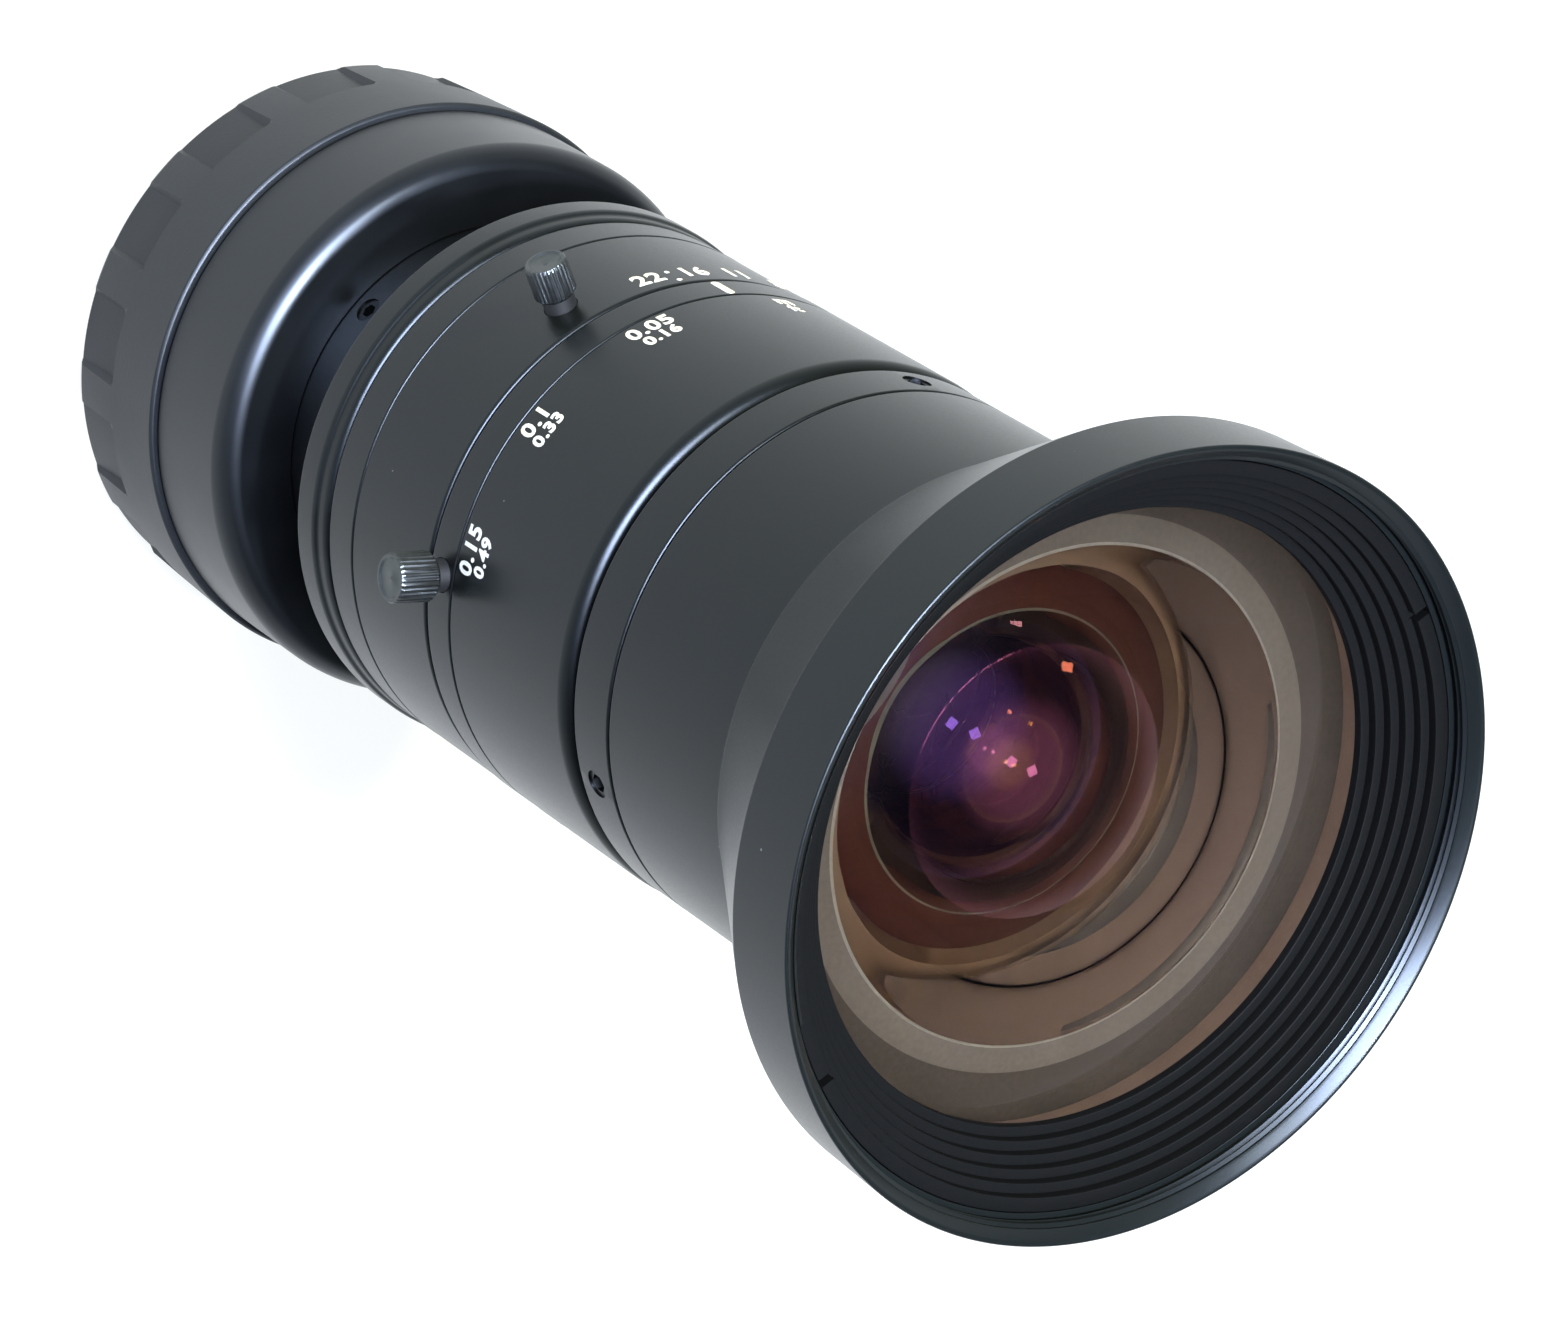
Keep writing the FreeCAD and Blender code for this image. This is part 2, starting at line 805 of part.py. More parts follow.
# Front element: large meniscus with a ground flat round its deep rear hollow
front_glass = glass(
    front_glass_edge_radius,
    front_glass_rear,
    ring_rear_height,
    front_glass_clear_radius,
    sagitta(front_glass_curve, front_glass_clear_radius),
    front_glass_hollow_radius,
    sagitta(front_glass_hollow_curve, front_glass_hollow_radius),
)
export("front_element", [front_glass])

# Front retaining ring: flat face with two spanner slots, then fine steps down to the glass
throat_top = ring_rear_height + ring_throat_depth
step_run = (ring_face_radius - front_glass_clear_radius) / ring_step_count
step_rise = (ring_front_height - throat_top) / ring_step_count
ring_profile = [
    (front_glass_clear_radius, ring_rear_height),
    (ring_outer_radius, ring_rear_height),
    (ring_outer_radius, ring_front_height),
    (ring_face_radius, ring_front_height),
]
for step in range(ring_step_count):
    outer_radius = ring_face_radius - step * step_run
    top = ring_front_height - step * step_rise
    ring_profile.append((outer_radius, top - ring_step_drop))
    ring_profile.append((outer_radius - step_run, top - step_rise))
front_ring = turned(ring_profile)
slot_length = ring_outer_radius - ring_face_radius + 2 * edge_break
spanner_slot = radial_prism(
    [
        (-spanner_slot_width / 2, -spanner_slot_depth),
        (spanner_slot_width / 2, -spanner_slot_depth),
        (spanner_slot_width / 2, spanner_slot_depth),
        (-spanner_slot_width / 2, spanner_slot_depth),
    ],
    slot_length,
)
for turn in (0, 180):
    cutter = face_outwards(
        spanner_slot, spanner_slot_angle + turn, ring_face_radius - edge_break, ring_front_height
    )
    front_ring = front_ring.cut(cutter)
export("front_retaining_ring", [front_ring])

# Second element and the ring that holds it
second_glass = glass(
    second_edge_radius,
    second_rear,
    second_front,
    second_ring_opening,
    sagitta(second_curve, second_ring_opening),
    second_hollow_radius,
    sagitta(second_hollow_curve, second_hollow_radius),
)
export("second_element", [second_glass])
second_ring = tube(
    second_ring_opening, second_edge_radius, second_front, second_front + second_ring_height
)
export("second_retaining_ring", [second_ring])

# Third element and the ring that holds it
third_glass = glass(
    third_edge_radius,
    third_rear,
    third_front,
    third_ring_opening,
    sagitta(third_curve, third_ring_opening),
    third_seat_radius,
    sagitta(third_rear_curve, third_seat_radius),
)
export("third_element", [third_glass])
third_ring = tube(
    third_ring_opening, third_edge_radius, third_front, third_front + third_ring_height
)
export("third_retaining_ring", [third_ring])

# Middle cell: fixed in front of the iris, with the fourth element
middle_rear = retainer_front
middle_front = middle_rear + middle_cell_length
fourth_rear = middle_front - fourth_seat_depth
fourth_front = fourth_rear + fourth_edge
middle_cell = turned([
    (middle_cell_opening, middle_rear),
    (middle_cell_radius, middle_rear),
    (middle_cell_radius, middle_front),
    (fourth_edge_radius + fixed_gap, middle_front),
    (fourth_edge_radius + fixed_gap, fourth_rear),
    (middle_cell_opening, fourth_rear),
])
export("middle_cell", [middle_cell])
fourth_glass = glass(
    fourth_edge_radius,
    fourth_rear,
    fourth_front,
    fourth_ring_opening,
    sagitta(fourth_curve, fourth_ring_opening),
    middle_cell_opening,
    -sagitta(fourth_curve, middle_cell_opening),
)
export("fourth_element", [fourth_glass])
fourth_ring = tube(
    fourth_ring_opening, fourth_edge_radius, fourth_front, fourth_front + fourth_ring_height
)
export("fourth_retaining_ring", [fourth_ring])

# Iris base plate: carries the blade pivots
blade_angles = [step * 360 / blade_count for step in range(blade_count)]
base_plate = tube(
    base_plate_opening, middle_cell_radius, iris_shoulder_height, base_plate_top
)
pivot_hole = Part.makeCylinder(
    pivot_pin_radius + running_gap, 2 * rim_front, Vector(pivot_radius, 0, 0), axis_z
)
pivot_holes = Part.makeCompound([around(pivot_hole, angle) for angle in blade_angles])
export("iris_base_plate", [base_plate.cut(pivot_holes)])

# Iris retainer: holds the cam ring down
iris_retainer = tube(
    iris_retainer_opening, middle_cell_radius, retainer_rear, retainer_front
)
export("iris_retainer", [iris_retainer])

# Iris blades: sickles that swing on the base plate, each in its own layer
blade_pivot = Vector(pivot_radius, 0, 0)


def bar(start, end, half_width, rear, front):
    """A flat bar with round ends."""
    along = end.sub(start)
    across = Vector(-along.y, along.x, 0).normalize().multiply(half_width)
    corners = [start.add(across), start.sub(across), end.sub(across), end.add(across)]
    outline = Part.makePolygon(corners + corners[:1])
    plate = Part.Face(outline).extrude(Vector(0, 0, front - rear))
    plate.translate(Vector(0, 0, rear))
    ends = [
        Part.makeCylinder(half_width, front - rear, point.add(Vector(0, 0, rear)), axis_z)
        for point in (start, end)
    ]
    return plate.fuse(ends)


def blade(layer):
    """One blade, fully open in its own frame with its pivot on +X."""
    rear = first_blade_height + layer * blade_pitch
    front = rear + blade_thickness
    sickle = tube(blade_inner_radius, blade_outer_radius, rear, front)
    span = Part.makeCylinder(
        2 * blade_outer_radius,
        2 * rim_front,
        origin,
        axis_z,
        blade_end_angle - blade_start_angle,
    )
    span.rotate(origin, axis_z, blade_start_angle)
    sickle = sickle.common(span)
    root = Vector((blade_inner_radius + blade_outer_radius) / 2, 0, 0)
    cam_point = Vector(pivot_radius, cam_arm_length, 0)
    tab = bar(root, blade_pivot, pivot_tab_radius, rear, front)
    arm = bar(blade_pivot, cam_point, cam_pin_tab_radius, rear, front)
    pivot_pin = Part.makeCylinder(
        pivot_pin_radius,
        front - iris_shoulder_height - fixed_gap,
        Vector(pivot_radius, 0, iris_shoulder_height + fixed_gap),
        axis_z,
    )
    cam_pin = Part.makeCylinder(
        cam_pin_radius,
        cam_ring_rear + cam_pin_depth - rear,
        cam_point.add(Vector(0, 0, rear)),
        axis_z,
    )
    shape = sickle.fuse([tab, arm, pivot_pin, cam_pin]).removeSplitter()
    shape.rotate(blade_pivot, axis_z, blade_rest_turn)
    return shape


for number, angle in enumerate(blade_angles):
    export("iris_blade_" + str(number + 1), [around(blade(number), angle)])


def cam_track(ring_turn):
    """Place of a blade's cam pin on the cam ring, for one turn of the iris ring."""
    blade_turn = math.radians(blade_rest_turn - blade_turn_per_ring_turn * ring_turn)
    x = pivot_radius - cam_arm_length * math.sin(blade_turn)
    y = cam_arm_length * math.cos(blade_turn)
    back = math.radians(-ring_turn)
    return Vector(
        x * math.cos(back) - y * math.sin(back),
        x * math.sin(back) + y * math.cos(back),
        0,
    )


# Cam ring: six curved slots that the iris ring carries round
slot_half_width = cam_pin_radius + running_gap
track_turns = [-iris_turn_closed, (iris_turn_open - iris_turn_closed) / 2, iris_turn_open]
track = [cam_track(turn) for turn in track_turns]
track_centre = Part.Arc(*track).toShape().Curve.Center


def from_track(point, offset):
    """A point moved away from the middle of the cam slot's arc."""
    outward = point.sub(track_centre).normalize().multiply(offset)
    return point.add(outward)


slot_faces = []
outer_arc = Part.Arc(*[from_track(point, slot_half_width) for point in track]).toShape()
inner_arc = Part.Arc(*[from_track(point, -slot_half_width) for point in track]).toShape()
slot_edges = [outer_arc, inner_arc]
for end, other in ((track[0], track[1]), (track[2], track[1])):
    outward = end.sub(track_centre).normalize()
    onward = Vector(-outward.y, outward.x, 0)
    if onward.dot(other.sub(end)) > 0:
        onward = onward.negative()
    tip = end.add(onward.multiply(slot_half_width))
    cap_arc = Part.Arc(from_track(end, slot_half_width), tip, from_track(end, -slot_half_width))
    slot_edges.append(cap_arc.toShape())
slot_outline = Part.Wire(Part.sortEdges(slot_edges)[0])
cam_slot = Part.Face(slot_outline).extrude(Vector(0, 0, cam_pin_depth + 2 * running_gap))
cam_slot.translate(Vector(0, 0, cam_ring_rear - running_gap))
cam_ring = tube(cam_ring_inner_radius, cam_ring_radius, cam_ring_rear, cam_ring_front)
cam_ring = cam_ring.cut(Part.makeCompound([around(cam_slot, angle) for angle in blade_angles]))
drive_socket = radial_rod(
    drive_radius, drive_pin_inner - edge_break, 2 * cam_ring_radius, drive_angle, drive_height
)
export("iris_cam_ring", [cam_ring.cut(drive_socket)])

# Rear cell: long tube with the fifth, sixth and seventh elements
rear_cell_rear_height = thread_rear + rear_cell_sink
rear_cell_front = iris_shoulder_height - rear_cell_front_gap
rear_stop_height = rear_cell_front - rear_stop_inset
rear_stop_front = rear_stop_height + rear_stop_length
rear_cell = turned([
    (rear_cell_bore, rear_cell_rear_height),
    (rear_cell_radius - edge_break, rear_cell_rear_height),
    (rear_cell_radius, rear_cell_rear_height + edge_break),
    (rear_cell_radius, rear_cell_front),
    (rear_cell_front_bore, rear_cell_front),
    (rear_cell_front_bore, rear_stop_front),
    (rear_stop_opening, rear_stop_front),
    (rear_stop_opening, rear_stop_height),
    (rear_cell_bore, rear_stop_height),
])
export("rear_cell", [rear_cell])

# Fifth element pair: two glasses cemented at a shared curve
fifth_radius = rear_cell_front_bore - fixed_gap
fifth_middle = rear_stop_front + fifth_flint_edge
fifth_front = fifth_middle + fifth_edge
fifth_opening = rear_stop_opening
flint = glass(
    fifth_radius,
    rear_stop_front,
    fifth_middle,
    fifth_opening,
    -sagitta(fifth_cement_curve, fifth_opening),
    fifth_opening,
    -sagitta(fifth_rear_curve, fifth_opening),
)
export("fifth_element_rear", [flint])
crown = glass(
    fifth_radius,
    fifth_middle,
    fifth_front,
    fifth_opening,
    sagitta(fifth_curve, fifth_opening),
    fifth_opening,
    -sagitta(fifth_cement_curve, fifth_opening),
)
export("fifth_element_front", [crown])
fifth_ring = tube(fifth_opening, fifth_radius, fifth_front, fifth_front + fifth_ring_height)
export("fifth_retaining_ring", [fifth_ring])

# Sixth and seventh elements, the spacer between them and the rear retaining ring
rear_glass_radius = rear_cell_bore - fixed_gap
sixth_front = rear_stop_height
sixth_rear = sixth_front - sixth_edge
spacer_rear = sixth_rear - rear_spacer_length
seventh_rear = spacer_rear - seventh_edge
sixth_glass = glass(
    rear_glass_radius,
    sixth_rear,
    sixth_front,
    rear_stop_opening,
    sagitta(sixth_curve, rear_stop_opening),
    rear_element_opening,
    -sagitta(sixth_curve, rear_element_opening),
)
export("sixth_element", [sixth_glass])
rear_spacer = tube(rear_element_opening, rear_glass_radius, spacer_rear, sixth_rear)
export("rear_spacer", [rear_spacer])
seventh_glass = glass(
    rear_glass_radius,
    seventh_rear,
    spacer_rear,
    rear_element_opening,
    sagitta(seventh_front_curve, rear_element_opening),
    rear_element_opening,
    -sagitta(seventh_curve, rear_element_opening),
)
export("seventh_element", [seventh_glass])
rear_ring = tube(
    rear_element_opening, rear_glass_radius, seventh_rear - rear_ring_height, seventh_rear
)
rear_slot = radial_prism(
    [
        (-rear_ring_slot_width / 2, -rear_ring_slot_depth),
        (rear_ring_slot_width / 2, -rear_ring_slot_depth),
        (rear_ring_slot_width / 2, rear_ring_slot_depth),
        (-rear_ring_slot_width / 2, rear_ring_slot_depth),
    ],
    rear_cell_bore,
)
for turn in (0, 180):
    cutter = face_outwards(rear_slot, turn, 0, seventh_rear - rear_ring_height)
    rear_ring = rear_ring.cut(cutter)
export("rear_retaining_ring", [rear_ring])
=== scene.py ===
import math

import bmesh
import bpy
from mathutils import Matrix, Vector


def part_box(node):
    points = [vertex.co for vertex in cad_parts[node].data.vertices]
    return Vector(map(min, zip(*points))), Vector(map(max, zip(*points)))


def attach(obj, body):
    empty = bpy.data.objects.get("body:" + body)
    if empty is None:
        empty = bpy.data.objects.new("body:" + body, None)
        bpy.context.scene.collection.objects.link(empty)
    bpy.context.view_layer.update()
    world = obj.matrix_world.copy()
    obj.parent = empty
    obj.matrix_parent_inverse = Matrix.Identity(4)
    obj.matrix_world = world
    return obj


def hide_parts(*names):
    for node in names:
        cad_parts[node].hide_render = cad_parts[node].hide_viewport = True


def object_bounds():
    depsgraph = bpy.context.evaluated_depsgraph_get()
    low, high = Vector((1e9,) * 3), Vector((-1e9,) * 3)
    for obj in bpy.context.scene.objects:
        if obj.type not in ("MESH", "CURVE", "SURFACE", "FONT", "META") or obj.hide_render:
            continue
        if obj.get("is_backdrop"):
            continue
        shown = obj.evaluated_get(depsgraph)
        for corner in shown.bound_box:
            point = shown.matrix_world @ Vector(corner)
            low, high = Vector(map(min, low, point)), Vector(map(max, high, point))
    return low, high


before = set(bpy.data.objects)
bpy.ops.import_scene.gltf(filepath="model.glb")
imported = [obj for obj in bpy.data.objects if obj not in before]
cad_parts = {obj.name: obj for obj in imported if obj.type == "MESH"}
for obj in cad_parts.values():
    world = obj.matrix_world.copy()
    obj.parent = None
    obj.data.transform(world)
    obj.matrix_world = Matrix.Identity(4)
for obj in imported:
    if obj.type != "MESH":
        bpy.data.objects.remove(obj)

cad_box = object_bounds()
mm = 0.001

# Studio. The lens stands on its cap on a pale table and is photographed from above its side.
# The camera is rolled, as in the photograph, so that the front glass comes to the lower right.
camera_data = bpy.data.cameras.new("camera")
camera_data.sensor_width = 36.0
camera_data.lens = 148.37
camera = bpy.data.objects.new("camera", camera_data)
camera.location = (0.1806156, -0.1074875, 0.2922914)
camera.rotation_euler = [math.radians(turn) for turn in (-25.0314, -33.2230, -170.8589)]
bpy.context.scene.collection.objects.link(camera)
bpy.context.scene.camera = camera


def linear(hex_colour):
    """The linear colour of an sRGB hex value such as "3a3e40"."""
    channels = [int(hex_colour[i : i + 2], 16) / 255 for i in (0, 2, 4)]
    return [c / 12.92 if c <= 0.04045 else ((c + 0.055) / 1.055) ** 2.4 for c in channels] + [1.0]


def add_node(tree, kind, settings=None, values=None, links=None):
    """Adds one node, sets its properties and socket values, and links its inputs."""
    node = tree.nodes.new(kind)
    for key, value in (settings or {}).items():
        setattr(node, key, value)
    for key, value in (values or {}).items():
        node.inputs[key].default_value = value
    for key, source in (links or {}).items():
        tree.links.new(source, node.inputs[key])
    return node


def new_material(name):
    """An empty material, its node tree and the object coordinates that its patterns lie on."""
    material = bpy.data.materials.new(name)
    material.use_nodes = True
    tree = material.node_tree
    tree.nodes.clear()
    return material, tree, add_node(tree, "ShaderNodeTexCoord").outputs["Object"]


def noise(tree, where, scale, detail):
    """Random soft patches, as a factor from 0 to 1."""
    values = {"Scale": scale, "Detail": detail}
    node = add_node(tree, "ShaderNodeTexNoise", values=values, links={"Vector": where})
    return node.outputs["Fac"]


def blend(tree, factor, first, second):
    """A colour that goes from one hex value to another with the factor."""
    values = {"A": linear(first), "B": linear(second)}
    node = add_node(tree, "ShaderNodeMix", {"data_type": "RGBA"}, values, {"Factor": factor})
    return node.outputs["Result"]


def lay_surface(tree, values, links):
    """Adds the surface of a material and its output."""
    surface = add_node(tree, "ShaderNodeBsdfPrincipled", values=values, links=links)
    add_node(tree, "ShaderNodeOutputMaterial", links={"Surface": surface.outputs["BSDF"]})


def put_in_scene(bm, name):
    """Makes an object of a mesh that is still being edited."""
    mesh = bpy.data.meshes.new(name)
    bm.to_mesh(mesh)
    made = bpy.data.objects.new(name, mesh)
    bpy.context.scene.collection.objects.link(made)
    return made


# Opal acrylic lit from below: an even white that hides shadows, with the faintest mottling.
opal, tree, where = new_material("lit_opal_acrylic_table")
mottle = noise(tree, where, scale=40.0, detail=2.0)
lay_surface(
    tree,
    {"Roughness": 0.85, "Emission Color": linear("fbfeff"), "Emission Strength": 0.89},
    {"Base Color": blend(tree, mottle, "5c5e5e", "626464")},
)

# The table is wide enough to reach past the picture, and a hair lower than the cap's rear face.
table_radius = 3.0
table_gap = 0.05 * mm
bm = bmesh.new()
bmesh.ops.create_circle(bm, cap_ends=True, segments=64, radius=table_radius)
bmesh.ops.translate(bm, verts=bm.verts, vec=(0, 0, -table_gap))
table = put_in_scene(bm, "table")
bm.free()
table.data.materials.append(opal)
table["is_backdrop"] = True

# Plain sRGB, so that the hex colours below come out as they are written.
bpy.context.scene.view_settings.view_transform = "Standard"

# White screens stand all round the table, and the ceiling over them is dark.
world = bpy.data.worlds.new("white_screens_and_dark_ceiling")
world.use_nodes = True
sky = world.node_tree
looking = add_node(sky, "ShaderNodeTexCoord").outputs["Generated"]
upwards = add_node(sky, "ShaderNodeSeparateXYZ", links={"Vector": looking})
ceiling = add_node(
    sky,
    "ShaderNodeMapRange",
    {"interpolation_type": "SMOOTHSTEP"},
    {"From Min": 0.2, "From Max": 0.6, "To Min": 1.0, "To Max": 0.07},
    {"Value": upwards.outputs["Z"]},
)
# The ceiling is lit softly round the two lamps, at a bearing of 45 degrees and 79 degrees up.
towards_lamps = (0.135, -0.135, 0.982)
nearness = add_node(
    sky, "ShaderNodeVectorMath", {"operation": "DOT_PRODUCT"}, {1: towards_lamps}, {0: looking}
)
glow = add_node(
    sky,
    "ShaderNodeMapRange",
    {"interpolation_type": "SMOOTHSTEP"},
    {"From Min": 0.82, "From Max": 0.99, "To Min": 0.0, "To Max": 1.5},
    {"Value": nearness.outputs["Value"]},
)
brightness = add_node(
    sky,
    "ShaderNodeMath",
    {"operation": "ADD"},
    links={0: ceiling.outputs["Result"], 1: glow.outputs["Result"]},
)
backdrop = sky.nodes["Background"]
backdrop.inputs["Color"].default_value = linear("f6fbff")
sky.links.new(brightness.outputs["Value"], backdrop.inputs["Strength"])
bpy.context.scene.world = world

lamp_distance = 0.7
lens_middle = Vector((0, 0, 40 * mm))


def angle_of(bearing):
    """The scene's angle for a bearing in degrees, which is counted from the index mark."""
    return math.radians(bearing - 90)


def softbox(name, bearing, elevation, size, power, colour):
    """A square area light in metres and watts, aimed at the middle of the lens."""
    data = bpy.data.lights.new(name, "AREA")
    data.shape = "SQUARE"
    data.size = size
    data.energy = power
    data.color = linear(colour)[:3]
    lamp = bpy.data.objects.new(name, data)
    turn, lift = angle_of(bearing), math.radians(elevation)
    level = math.cos(lift)
    away = Vector((math.cos(turn) * level, math.sin(turn) * level, math.sin(lift)))
    lamp.location = away * lamp_distance + lens_middle
    lamp.rotation_euler = away.to_track_quat("Z", "Y").to_euler()
    bpy.context.scene.collection.objects.link(lamp)
    return lamp


softbox("left_lamp", bearing=52, elevation=74, size=0.05, power=9.0, colour="e4ecff")
softbox("right_lamp", bearing=25, elevation=84, size=0.05, power=8.0, colour="eaf0ff")
# The warm side lamp shows only in the glass, as a golden spot.
side = softbox("side_lamp", bearing=342, elevation=37, size=0.06, power=6.0, colour="fff08c")
side.visible_glossy = False
# Two wide panels only draw the long gleams on polished and rounded edges.
wide_panels = [
    softbox("edge_panel", bearing=52, elevation=56, size=0.36, power=42.0, colour="dde6ff"),
    softbox("rim_panel", bearing=14, elevation=52, size=0.22, power=5.0, colour="f4f8ff"),
]
for wide_panel in wide_panels:
    wide_panel.visible_diffuse = False
    wide_panel.visible_transmission = False

# Rear dust cap: a moulded cup of black polyethylene, with grip recesses round its lower half.
# Its thin lip snaps behind the thread, and the whole lens stands on its flat end.


def between(tree, factor, low, high):
    """A value that goes from low to high with the factor."""
    values = {"To Min": low, "To Max": high}
    node = add_node(tree, "ShaderNodeMapRange", values=values, links={"Value": factor})
    return node.outputs["Result"]


def bump(tree, height, strength, depth):
    """Relief too fine to model. Its depth is in millimetres."""
    values = {"Strength": strength, "Distance": depth * mm}
    node = add_node(tree, "ShaderNodeBump", values=values, links={"Height": height})
    return node.outputs["Normal"]


# Moulded plastic: soft wide gloss, with a fine pebble from the mould that breaks up the light.
cap_plastic, tree, where = new_material("moulded_black_polyethylene")
pebble = noise(tree, where, scale=4200.0, detail=2.0)
patches = noise(tree, where, scale=160.0, detail=3.0)
lay_surface(
    tree,
    {"IOR": 1.38, "Specular Tint": linear("e2ecf6")},
    {
        "Base Color": blend(tree, patches, "0e1013", "191c20"),
        "Roughness": between(tree, patches, 0.36, 0.5),
        "Normal": bump(tree, pebble, strength=0.25, depth=0.02),
    },
)

merge_distance = 0.0005 * mm


def spun(outline, steps=256, closed=True):
    """Spins an outline of (radius, height, rounding) in millimetres round the lens axis.
    An outline that is not closed starts and ends on the axis."""
    bm = bmesh.new()
    corners = [bm.verts.new((radius * mm, 0, height * mm)) for radius, height, _ in outline]
    for first, second in zip(corners, corners[1:]):
        bm.edges.new((first, second))
    if closed:
        bm.edges.new((corners[-1], corners[0]))
    for size in sorted({rounding for _, _, rounding in outline if rounding}):
        bmesh.ops.bevel(
            bm,
            geom=[corner for corner, point in zip(corners, outline) if point[2] == size],
            offset=size * mm,
            affect="VERTICES",
            segments=4,
            profile=0.5,
            material=-1,
        )
    bmesh.ops.spin(
        bm,
        geom=bm.verts[:] + bm.edges[:],
        cent=(0, 0, 0),
        axis=(0, 0, 1),
        angle=math.tau,
        steps=steps,
        use_merge=True,
    )
    bmesh.ops.remove_doubles(bm, verts=bm.verts, dist=merge_distance)
    bmesh.ops.recalc_face_normals(bm, faces=bm.faces)
    return bm


def finish_piece(bm, name, body, materials, node=None, crease=33):
    """Makes the piece's object, smooth but for its true edges, and hands it to its body."""
    for face in bm.faces:
        face.smooth = True
    piece = put_in_scene(bm, name)
    bm.free()
    piece.data.set_sharp_from_angle(angle=math.radians(crease))
    for material in materials:
        piece.data.materials.append(material)
    even = piece.modifiers.new("even_shading", "WEIGHTED_NORMAL")
    even.keep_sharp = True
    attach(piece, body)
    if node:
        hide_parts(node)


cap_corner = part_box("rear_dust_cap")[1]
cap_radius, cap_height = cap_corner.x / mm, cap_corner.z / mm
lip_radius, lip_thickness = 12.75, 0.2
cavity_radius, cavity_floor = 13.5, 1.5
bm = spun(
    [
        (0, 0, 0),
        (cap_radius - 0.9, 0, 0),
        (cap_radius - 0.53, 0.15, 0),
        (cap_radius - 0.38, 0.5, 0),
        (cap_radius - 0.20, 4.0, 0),
        (cap_radius - 0.19, 4.3, 0),
        (cap_radius, cap_height - 0.15, 0.06),
        (cap_radius - 0.15, cap_height, 0.06),
        (lip_radius, cap_height, 0.04),
        (lip_radius, cap_height - lip_thickness, 0.04),
        (cavity_radius, cap_height - lip_thickness, 0),
        (cavity_radius, cavity_floor, 0.4),
        (0, cavity_floor, 0),
    ],
    steps=360,
    closed=False,
)
recess_pitch, recess_half_width, recess_bearing = 24.0, 7.2, -11.4
recess_radius, recess_top = (cap_radius - 0.6) * mm, 4.2 * mm
for vertex in bm.verts:
    out = vertex.co.xy.length
    round_cap = math.degrees(math.atan2(vertex.co.y, vertex.co.x))
    off_centre = abs((round_cap + recess_pitch / 2) % recess_pitch - recess_pitch / 2)
    if out > recess_radius and vertex.co.z < recess_top and off_centre < recess_half_width:
        vertex.co.xy *= recess_radius / out
bm.transform(Matrix.Rotation(angle_of(recess_bearing), 4, "Z"))
bmesh.ops.recalc_face_normals(bm, faces=bm.faces)
finish_piece(bm, "cap_shell", "dust_cap", [cap_plastic], "rear_dust_cap", crease=28)

# Mount ring: turned aluminium, with the wide band and behind it the camera thread.
# It is anodised after polishing, so it is blacker and glossier than the rings in front of it.


def tool_marks(tree, where, scale, distortion):
    """The fine grooves of the lathe, as a factor. The real ones are 0.02 mm apart and would
    not show, so they are drawn 0.1 mm apart."""
    values = {"Scale": scale, "Distortion": distortion, "Detail": 1.0}
    bands = {"bands_direction": "Z"}
    node = add_node(tree, "ShaderNodeTexWave", bands, values, {"Vector": where})
    return node.outputs["Fac"]


gloss_anodised, tree, where = new_material("polished_black_anodised_aluminium")
clouds = noise(tree, where, scale=220.0, detail=4.0)
turning = tool_marks(tree, where, scale=3100.0, distortion=0.6)
lay_surface(
    tree,
    {"IOR": 1.42, "Specular Tint": linear("dce9f6")},
    {
        "Base Color": blend(tree, clouds, "050608", "0a0c0f"),
        "Roughness": between(tree, clouds, 0.28, 0.4),
        "Normal": bump(tree, turning, strength=0.06, depth=0.004),
    },
)


def thread(bm, root, crest, start, end, pitch, steps=90):
    """Adds a helical ridge from root to crest radius between two heights, with closed ends.
    Its foot takes up most of the pitch."""
    ridge = bmesh.new()
    half_foot = 0.42 * pitch
    outline = [(root, start - half_foot), (crest, start), (root, start + half_foot)]
    corners = [ridge.verts.new((radius * mm, 0, height * mm)) for radius, height in outline]
    for first, second in ((0, 1), (1, 2), (2, 0)):
        ridge.edges.new((corners[first], corners[second]))
    turns = (end - start) / pitch
    bmesh.ops.spin(
        ridge,
        geom=ridge.verts[:] + ridge.edges[:],
        cent=(0, 0, 0),
        axis=(0, 0, 1),
        dvec=(0, 0, pitch * mm / steps),
        angle=turns * math.tau,
        steps=round(turns * steps),
    )
    bmesh.ops.holes_fill(ridge, edges=[edge for edge in ridge.edges if edge.is_boundary])
    bmesh.ops.recalc_face_normals(ridge, faces=ridge.faces)
    turned_ridge = bpy.data.meshes.new("ridge")
    ridge.to_mesh(turned_ridge)
    ridge.free()
    bm.from_mesh(turned_ridge)
    bpy.data.meshes.remove(turned_ridge)


bm = spun(
    [
        (10.9, 5.3, 0),
        (12.1, 5.3, 0.1),
        (12.3, 5.6, 0),
        (12.3, 8.6, 0),
        (12.1, 8.7, 0),
        (12.1, 9.2, 0),
        (15.65, 9.2, 0.16),
        (15.65, 15.55, 0.5),
        (14.85, 16.4, 0.4),
        (11.52, 16.4, 0.05),
        (11.52, 10.9, 0),
        (10.9, 10.9, 0),
    ]
)
thread(bm, root=12.2, crest=12.7, start=5.75, end=8.3, pitch=0.794)
finish_piece(bm, "mount_band", "lens_body", [gloss_anodised], "mount_ring")

